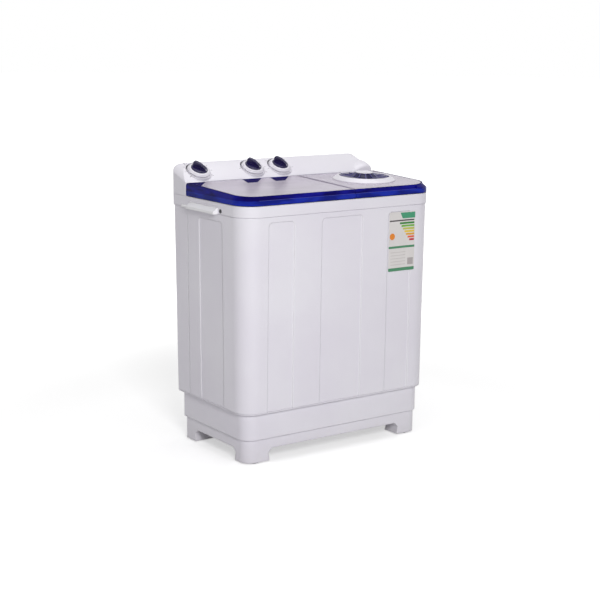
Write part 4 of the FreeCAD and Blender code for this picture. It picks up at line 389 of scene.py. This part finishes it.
def screw_steel():
    """Bright screws; those in the deep wells of the rim's sides are darkened as painted shade, with a
    darker cross slot.
    """
    finish = Finish("screw_steel")
    half_slot = 0.7 * MM
    cross = ((abs(finish.y - rim_screw_y) < half_slot)
             .greater(abs(finish.z - rim_screw_z) < half_slot))
    shaded = finish.mix(cross, (0.06, 0.06, 0.065), (0.01, 0.01, 0.012))
    # Painted shade: the screws on the rim's sides, deep in their wells, are darkened.
    on_side = abs(finish.x) > 370 * MM
    tone = finish.mix(on_side, (0.60, 0.61, 0.62), shaded)
    return finish.surface(tone, 0.38 + 0.1 * finish.noise(300), Metallic=0.6)


def painted_motor():
    finish = Finish("motor_case")
    pits = finish.noise(160, 4)
    tone = finish.mix(pits, (0.10, 0.105, 0.11), (0.20, 0.205, 0.21))
    return finish.surface(tone, 0.40 + 0.2 * pits, finish.relief(pits, 0.3 * MM, 0.4),
                          Metallic=0.6)


def cast_pulley():
    finish = Finish("cast_alloy")
    pits = finish.noise(220, 4)
    tone = finish.mix(pits, (0.42, 0.42, 0.42), (0.60, 0.60, 0.60))
    return finish.surface(tone, 0.38 + 0.2 * pits, finish.relief(pits, 0.2 * MM, 0.4),
                          Metallic=1.0)


def soft_rubber():
    finish = Finish("black_rubber_matt")
    grain = finish.noise(600, 3)
    tone = finish.mix(grain, (0.014, 0.014, 0.015), (0.035, 0.034, 0.033))
    return finish.surface(tone, 0.62 + 0.2 * grain, finish.relief(grain, 0.1 * MM, 0.5))


def grey_moulding():
    finish = Finish("grey_moulding")
    grain = finish.noise(450)
    tone = finish.mix(finish.noise(20), (0.25, 0.255, 0.265), (0.34, 0.345, 0.355))
    return finish.surface(tone, 0.42 + 0.15 * grain, finish.relief(grain, 0.06 * MM, 0.4))


finishes = {
    "white_shell": moulded_shell(),
    "tub_white": tub_resin(),
    "navy_lid": tinted_lid(),
    "lilac_panel": panel_sheet(),
    "navy_window": window_tint(),
    "navy_knob": knob_plastic(),
    "steel": brushed_steel(),
    "motor_metal": painted_motor(),
    "pulley_metal": cast_pulley(),
    "black_rubber": soft_rubber(),
    "grey_plastic": grey_moulding(),
}


def dress_nodes():
    """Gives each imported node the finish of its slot. The screws have one of their own."""
    for item in frame["nodes"].values():
        for holder in item.material_slots:
            holder.material = finishes[holder.material.name.split(".")[0]]
    frame["nodes"]["case_screws"].material_slots[0].material = screw_steel()


# ---------------------------------------------------------------- modelling

def named(name):
    """The piece in hand, under its own name."""
    piece = bpy.context.object
    piece.name = piece.data.name = name
    return piece


def choose(piece, kind, wanted):
    """Opens the piece for editing with only its wanted vertices or faces selected."""
    bpy.ops.object.mode_set(mode="EDIT")
    bpy.ops.mesh.select_mode(type=kind)
    bpy.ops.mesh.select_all(action="DESELECT")
    bpy.ops.object.mode_set(mode="OBJECT")
    for part in {"VERT": piece.data.vertices, "FACE": piece.data.polygons}[kind]:
        part.select = wanted(part)
    bpy.ops.object.mode_set(mode="EDIT")


def close_edit():
    bpy.ops.object.mode_set(mode="OBJECT")


def face_outwards(piece):
    choose(piece, "FACE", lambda face: True)
    bpy.ops.mesh.normals_make_consistent(inside=False)
    close_edit()


def only(*pieces):
    """Selects these pieces alone and takes the first in hand."""
    bpy.ops.object.select_all(action="DESELECT")
    for piece in pieces:
        piece.select_set(True)
    bpy.context.view_layer.objects.active = pieces[0]


def settle():
    """Puts the place of the piece in hand into its mesh."""
    bpy.ops.object.transform_apply(location=True, rotation=True, scale=True)


def copied(piece, place):
    """A copy of the piece with a mesh of its own, moved to place."""
    only(piece)
    bpy.ops.object.duplicate()
    copy = bpy.context.object
    copy.matrix_world = place
    settle()
    return copy


def apply_modifier(piece, kind, **settings):
    only(piece)
    made = piece.modifiers.new(kind.lower(), kind)
    for name, value in settings.items():
        setattr(made, name, value)
    bpy.ops.object.modifier_apply(modifier=made.name)


def finish_piece(piece, finish, body):
    """Settles the piece, smooths it, and gives it its finish and its body."""
    only(piece)
    settle()
    bpy.ops.object.shade_smooth_by_angle(angle=SMOOTH_ANGLE)
    piece.data.materials.clear()
    piece.data.materials.append(finish)
    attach(piece, body)


def turned(name, outline, ring=False):
    """A round form about Z from (radius, height) points in mm. A ring's outline closes on itself."""
    radius, height = outline[0]
    bpy.ops.object.select_all(action="DESELECT")
    bpy.ops.mesh.primitive_circle_add(vertices=96, radius=radius * MM, fill_type="NGON",
                                      location=(0, 0, height * MM))
    piece = named(name)
    settle()
    choose(piece, "FACE", lambda face: True)
    for next_radius, next_height in outline[1:]:
        grow = next_radius / radius
        bpy.ops.mesh.extrude_region()
        bpy.ops.transform.resize(value=(grow, grow, 1), center_override=(0, 0, 0))
        bpy.ops.transform.translate(value=(0, 0, (next_height - height) * MM))
        radius, height = next_radius, next_height
    close_edit()
    if ring:
        choose(piece, "FACE", lambda face: len(face.vertices) > 4)
        bpy.ops.mesh.delete(type="ONLY_FACE")
        bpy.ops.mesh.select_mode(type="EDGE")
        bpy.ops.mesh.select_non_manifold()
        bpy.ops.mesh.bridge_edge_loops()
        close_edit()
    face_outwards(piece)
    return piece


# ---------------------------------------------------------------- printed card

card_left, card_right = 190.5 * MM, 296.5 * MM
card_low, card_high = 572.5 * MM, 768 * MM
card_thick = 0.25 * MM
card_corner = 3 * MM
recess_depth = 2.3 * MM
recess_wall_start, recess_wall_end = 262 * MM, 281 * MM

green_band = (0.05, 0.30, 0.16)
pale_green_band = (0.06, 0.24, 0.12)
bar_colours = ((0.03, 0.20, 0.03), (0.16, 0.42, 0.05), (0.50, 0.52, 0.08), (0.80, 0.56, 0.04),
               (0.72, 0.36, 0.03), (0.80, 0.12, 0.05), (0.50, 0.01, 0.04))


def card_print():
    """Coloured bars in falling steps between green bands, on off-white card.

    Across and down run from 0 to 1 over the card."""
    finish = Finish("card_print")
    across = (finish.x - card_left) / (card_right - card_left)
    down = (card_high - finish.z) / (card_high - card_low)
    tone = finish.mix(finish.noise(30, 3), (0.70, 0.67, 0.66), (0.78, 0.75, 0.74))
    band = down.between(0.015, 0.115) * ((across - 0.42) > down * 0.9)
    tone = finish.mix(band, tone, green_band)
    rule = down.between(0.135, 0.158) * across.between(0.02, 0.97)
    tone = finish.mix(rule, tone, (0.05, 0.04, 0.045))
    for step, colour in enumerate(bar_colours):
        top, start = 0.178 + 0.0475 * step, 0.42 + 0.062 * step
        bar = down.between(top, top + 0.033) * across.between(start, 0.975)
        tone = finish.mix(bar, tone, colour)
    spot_x, spot_z = across - 0.13, (down - 0.41) * 1.85
    spot = (spot_x * spot_x + spot_z * spot_z) < 0.0105
    tone = finish.mix(spot, tone, (0.78, 0.24, 0.02))
    for top, height in ((0.575, 0.038), (0.945, 0.055)):
        tone = finish.mix(down.between(top, top + height), tone, pale_green_band)
    faint_rules = ((down % 0.052) < 0.012) * down.between(0.64, 0.92) * across.between(0.08, 0.66)
    tone = finish.mix(faint_rules * 0.35, tone, (0.35, 0.30, 0.30))
    patch = down.between(0.79, 0.905) * across.between(0.74, 0.955)
    tone = finish.mix(patch * 0.6, tone, (0.22, 0.18, 0.19))
    return finish.surface(tone, 0.42, IOR=1.45)


def at_card_corner(vertex):
    x, z = vertex.co.x, vertex.co.z
    return min(x - card_left, card_right - x) < 0.1 * MM and min(z - card_low, card_high - z) < 0.3 * MM


def add_card():
    """The card of coloured bars, stuck on the front from the right-hand recess over its edge."""
    middle_x, middle_z = (card_left + card_right) / 2, (card_low + card_high) / 2
    bpy.ops.mesh.primitive_grid_add(x_subdivisions=20, y_subdivisions=4, size=1,
                                    rotation=(90 * DEGREE + math.atan(front_draft), 0, 0))
    card = named("front_card")
    card.scale = (card_right - card_left, card_high - card_low, 1)
    card.location = (middle_x, front_y(middle_z) - card_thick, middle_z)
    settle()
    choose(card, "VERT", at_card_corner)
    bpy.ops.mesh.bevel(affect="VERTICES", offset=card_corner, segments=4)
    close_edit()
    steps = 6
    for step in range(steps):
        edge = recess_wall_start + (recess_wall_end - recess_wall_start) * step / (steps - 1)
        choose(card, "VERT", lambda vertex: vertex.co.x < edge)
        bpy.ops.transform.translate(value=(0, recess_depth / steps, 0))
        close_edit()
    apply_modifier(card, "SOLIDIFY", thickness=card_thick, offset=1.0)
    finish_piece(card, card_print(), "washer_body")


# ---------------------------------------------------------------- spin lid window

# radii from the solids, and heights over the lid's sloping top, in mm
ring_foot = (ring_high.x - ring_low.x) / 2 / MM
window_edge = (window_high.x - window_low.x) / 2 / MM
ring_crest = 13.5
sheet_under, sheet_top = 8, 10.5
hub_foot, hub_top = 44, 22
cap_radius = 31
rib_width, rib_height, rib_rise = 2.4, 2.2, 10.4
rib_start, rib_end, rib_lean = hub_foot + 2, window_edge - 0.5, 15
rib_count = 12


def window_ribs():
    """One rib, from the rim up the flank of the hub, copied round the window."""
    bpy.ops.mesh.primitive_cube_add(size=1)
    rib = named("window_ribs")
    rib.scale = ((rib_end - rib_start) * MM, rib_width * MM, rib_height * MM)
    rib.location = ((rib_start + rib_end) / 2 * MM, 0, (sheet_top + 0.6) * MM)
    settle()
    choose(rib, "FACE", lambda face: face.normal.x < -0.9)
    bpy.ops.mesh.extrude_region()
    bpy.ops.transform.translate(value=(-rib_lean * MM, 0, rib_rise * MM))
    close_edit()
    apply_modifier(rib, "BEVEL", width=0.5 * MM, segments=2)
    step = 360 * DEGREE / rib_count
    turns = [Matrix.Rotation(place * step, 4, "Z") for place in range(1, rib_count)]
    only(rib, *[copied(rib, turn) for turn in turns])
    bpy.ops.object.join()
    return rib


def add_spin_window():
    """The tall white ring, the blue window with its raised hub, twelve ribs and the white cap."""
    ring = turned("window_ring", (
        (window_edge, -3), (window_edge + 4, -3), (window_edge + 4, -1.6),
        (ring_foot - 6, -1.6), (ring_foot - 6, 0.4), (ring_foot, 0.4), (ring_foot - 0.4, 1.8),
        (window_edge + 4.6, ring_crest - 1.1), (window_edge + 2.6, ring_crest),
        (window_edge + 0.8, ring_crest - 0.3), (window_edge, ring_crest - 1.1)), ring=True)
    window = turned("window_dome", (
        (cap_radius - 2, hub_top - 2.5), (hub_foot, sheet_under), (window_edge, sheet_under),
        (window_edge, sheet_top), (hub_foot + 2, sheet_top), (hub_foot + 0.5, sheet_top + 0.5),
        (cap_radius, hub_top - 0.4), (cap_radius - 1, hub_top)))
    cap = turned("window_cap", (
        (cap_radius - 1.5, hub_top), (cap_radius, hub_top + 0.8), (cap_radius, hub_top + 2.2),
        (cap_radius - 0.7, hub_top + 3), (cap_radius - 4, hub_top + 3.2),
        (cap_radius - 5, hub_top + 2.7)))
    seat = spin_lid_place()
    for piece, finish, slot in ((ring, finishes["white_shell"], "white_shell"),
                                (window, finishes["navy_window"], "navy_window"),
                                (cap, finishes["white_shell"], "white_shell"),
                                (window_ribs(), rib_tint(), "navy_window")):
        piece.matrix_world = seat
        finish_piece(piece, finish, "spin_lid_body")
    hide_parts("spin_window_ring")
    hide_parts("spin_window")


# ---------------------------------------------------------------- spin lid corner

def add_lid_corner():
    """The slope that eases the spin lid's upper tier down to its ledge at the free corner."""
    radius, ledge = lid_corner_radius / MM, lid_ledge / MM
    inner, outer, top = radius - 1.5, radius + 13, ledge + 12
    slope = turned("lid_corner_slope", ((inner, ledge - 0.5), (outer, ledge - 0.5),
                                        (outer, ledge + 0.3), (radius, top), (inner, top)),
                   ring=True)
    middle = Vector((spin_lid_high.x - lid_corner_radius,
                     spin_lid_low.y + lid_tier_inset + lid_corner_radius, 0))
    slope.location = middle
    only(slope)
    settle()
    inside, reach = 0.5 * MM, 16 * MM
    for place, outward in (((spin_lid_high.x - inside, 0, 0), (1, 0, 0)),
                           ((0, spin_lid_low.y + inside, 0), (0, -1, 0)),
                           ((middle.x + reach, 0, 0), (-1, 0, 0)),
                           ((0, middle.y - reach, 0), (0, 1, 0))):
        choose(slope, "FACE", lambda face: True)
        bpy.ops.mesh.bisect(plane_co=place, plane_no=outward, use_fill=True, clear_outer=True)
        close_edit()
    face_outwards(slope)
    finish_piece(slope, finishes["navy_lid"], "spin_lid_body")


# ---------------------------------------------------------------- dials

bead_turn, bead_reach, bead_lift = 36 * DEGREE, 22.5 * MM, 18.1 * MM
tick_reach, tick_lift = 49 * MM, 4 * MM
tick_length, tick_width = 6 * MM, 1.4 * MM

dials = {
    "wash_timer": {"body": "wash_timer_dial", "ticks": range(-60, 241, 30)},
    "selector": {"body": "selector_dial", "ticks": (-30, 0, 30, 180)},
    "spin_timer": {"body": "spin_timer_dial", "ticks": range(-60, 241, 50)},
}


def add_beads():
    """The small pale bead let into the low end of each knob's bar."""
    seat = Matrix.Translation((bead_reach * math.sin(bead_turn), -bead_reach * math.cos(bead_turn),
                               bead_lift))
    dome = turned("dial_bead", ((2.2, -1), (2.6, -0.3), (2.4, 0.5), (1.8, 0.95), (0.9, 1.25)))
    for label, dial in dials.items():
        bead = copied(dome, dial_place(label + "_turn") @ seat)
        bead.name = bead.data.name = dial["body"] + "_bead"
        finish_piece(bead, bead_white(), dial["body"])
    bpy.data.objects.remove(dome)


def add_marks(label, angles):
    """Short printed ticks on the console round one dial."""
    bpy.ops.mesh.primitive_grid_add(x_subdivisions=5, y_subdivisions=2, size=1)
    tick = named(label + "_tick")
    tick.scale = (tick_length, tick_width, 1)
    tick.location = (tick_reach, 0, tick_lift)
    settle()
    square = dial_place(label + "_turn")
    only(*[copied(tick, square @ Matrix.Rotation(angle * DEGREE, 4, "Z")) for angle in angles])
    bpy.ops.object.join()
    marks = named(label + "_marks")
    bpy.data.objects.remove(tick)
    apply_modifier(marks, "SHRINKWRAP", target=frame["nodes"]["control_console"], offset=0.12 * MM,
                   wrap_mode="ABOVE_SURFACE")
    apply_modifier(marks, "SOLIDIFY", thickness=0.1 * MM, offset=0)
    finish_piece(marks, print_grey(), "washer_body")


# ---------------------------------------------------------------- stage

def pale_floor():
    """A white floor that keeps a soft shadow, and turns to the backdrop's white away from it."""
    bpy.ops.mesh.primitive_circle_add(vertices=64, radius=30, fill_type="NGON", location=(0, 0, 0))
    floor = named("floor")
    paper = Finish("floor_paper")
    out = (paper.x * paper.x + paper.y * paper.y).root()
    glow = paper.seen_rays() * (0.50 + 0.60 * out.ramp(0.9, 2.6))
    matt = paper.node("ShaderNodeBsdfDiffuse", sockets={"Color": colour4((0.80, 0.80, 0.80))})[0]
    lift = paper.node("ShaderNodeEmission", sockets={"Color": glow, "Strength": 1.0})[0]
    both = paper.node("ShaderNodeAddShader", sockets={0: matt, 1: lift})[0]
    paper.node("ShaderNodeOutputMaterial", sockets={"Surface": both})
    floor.data.materials.append(paper.owner)


def pale_world():
    """White where it is seen, and a dimmer fill for all other rays."""
    world = bpy.data.worlds.new("world")
    bpy.context.scene.world = world
    sky = Nodes(world)
    fill = 0.26
    level = fill + (1 - fill) * sky.seen_rays()
    light = sky.node("ShaderNodeBackground", sockets={"Color": colour4((1, 1, 1)), "Strength": level})[0]
    sky.node("ShaderNodeOutputWorld", sockets={"Surface": light})


place_camera()
pale_floor()
pale_world()
soft_lamp("key_lamp", (-1.7, -3.3, 2.1), (0, 0, 0.5), 1.0, 76)
soft_lamp("top_lamp", (0.2, 0.0, 3.2), (0, 0, 0.8), 2.0, 27)
bpy.context.scene.view_settings.view_transform = "Standard"
dress_nodes()
add_card()
add_spin_window()
add_lid_corner()
add_beads()
for label, dial in dials.items():
    add_marks(label, dial["ticks"])
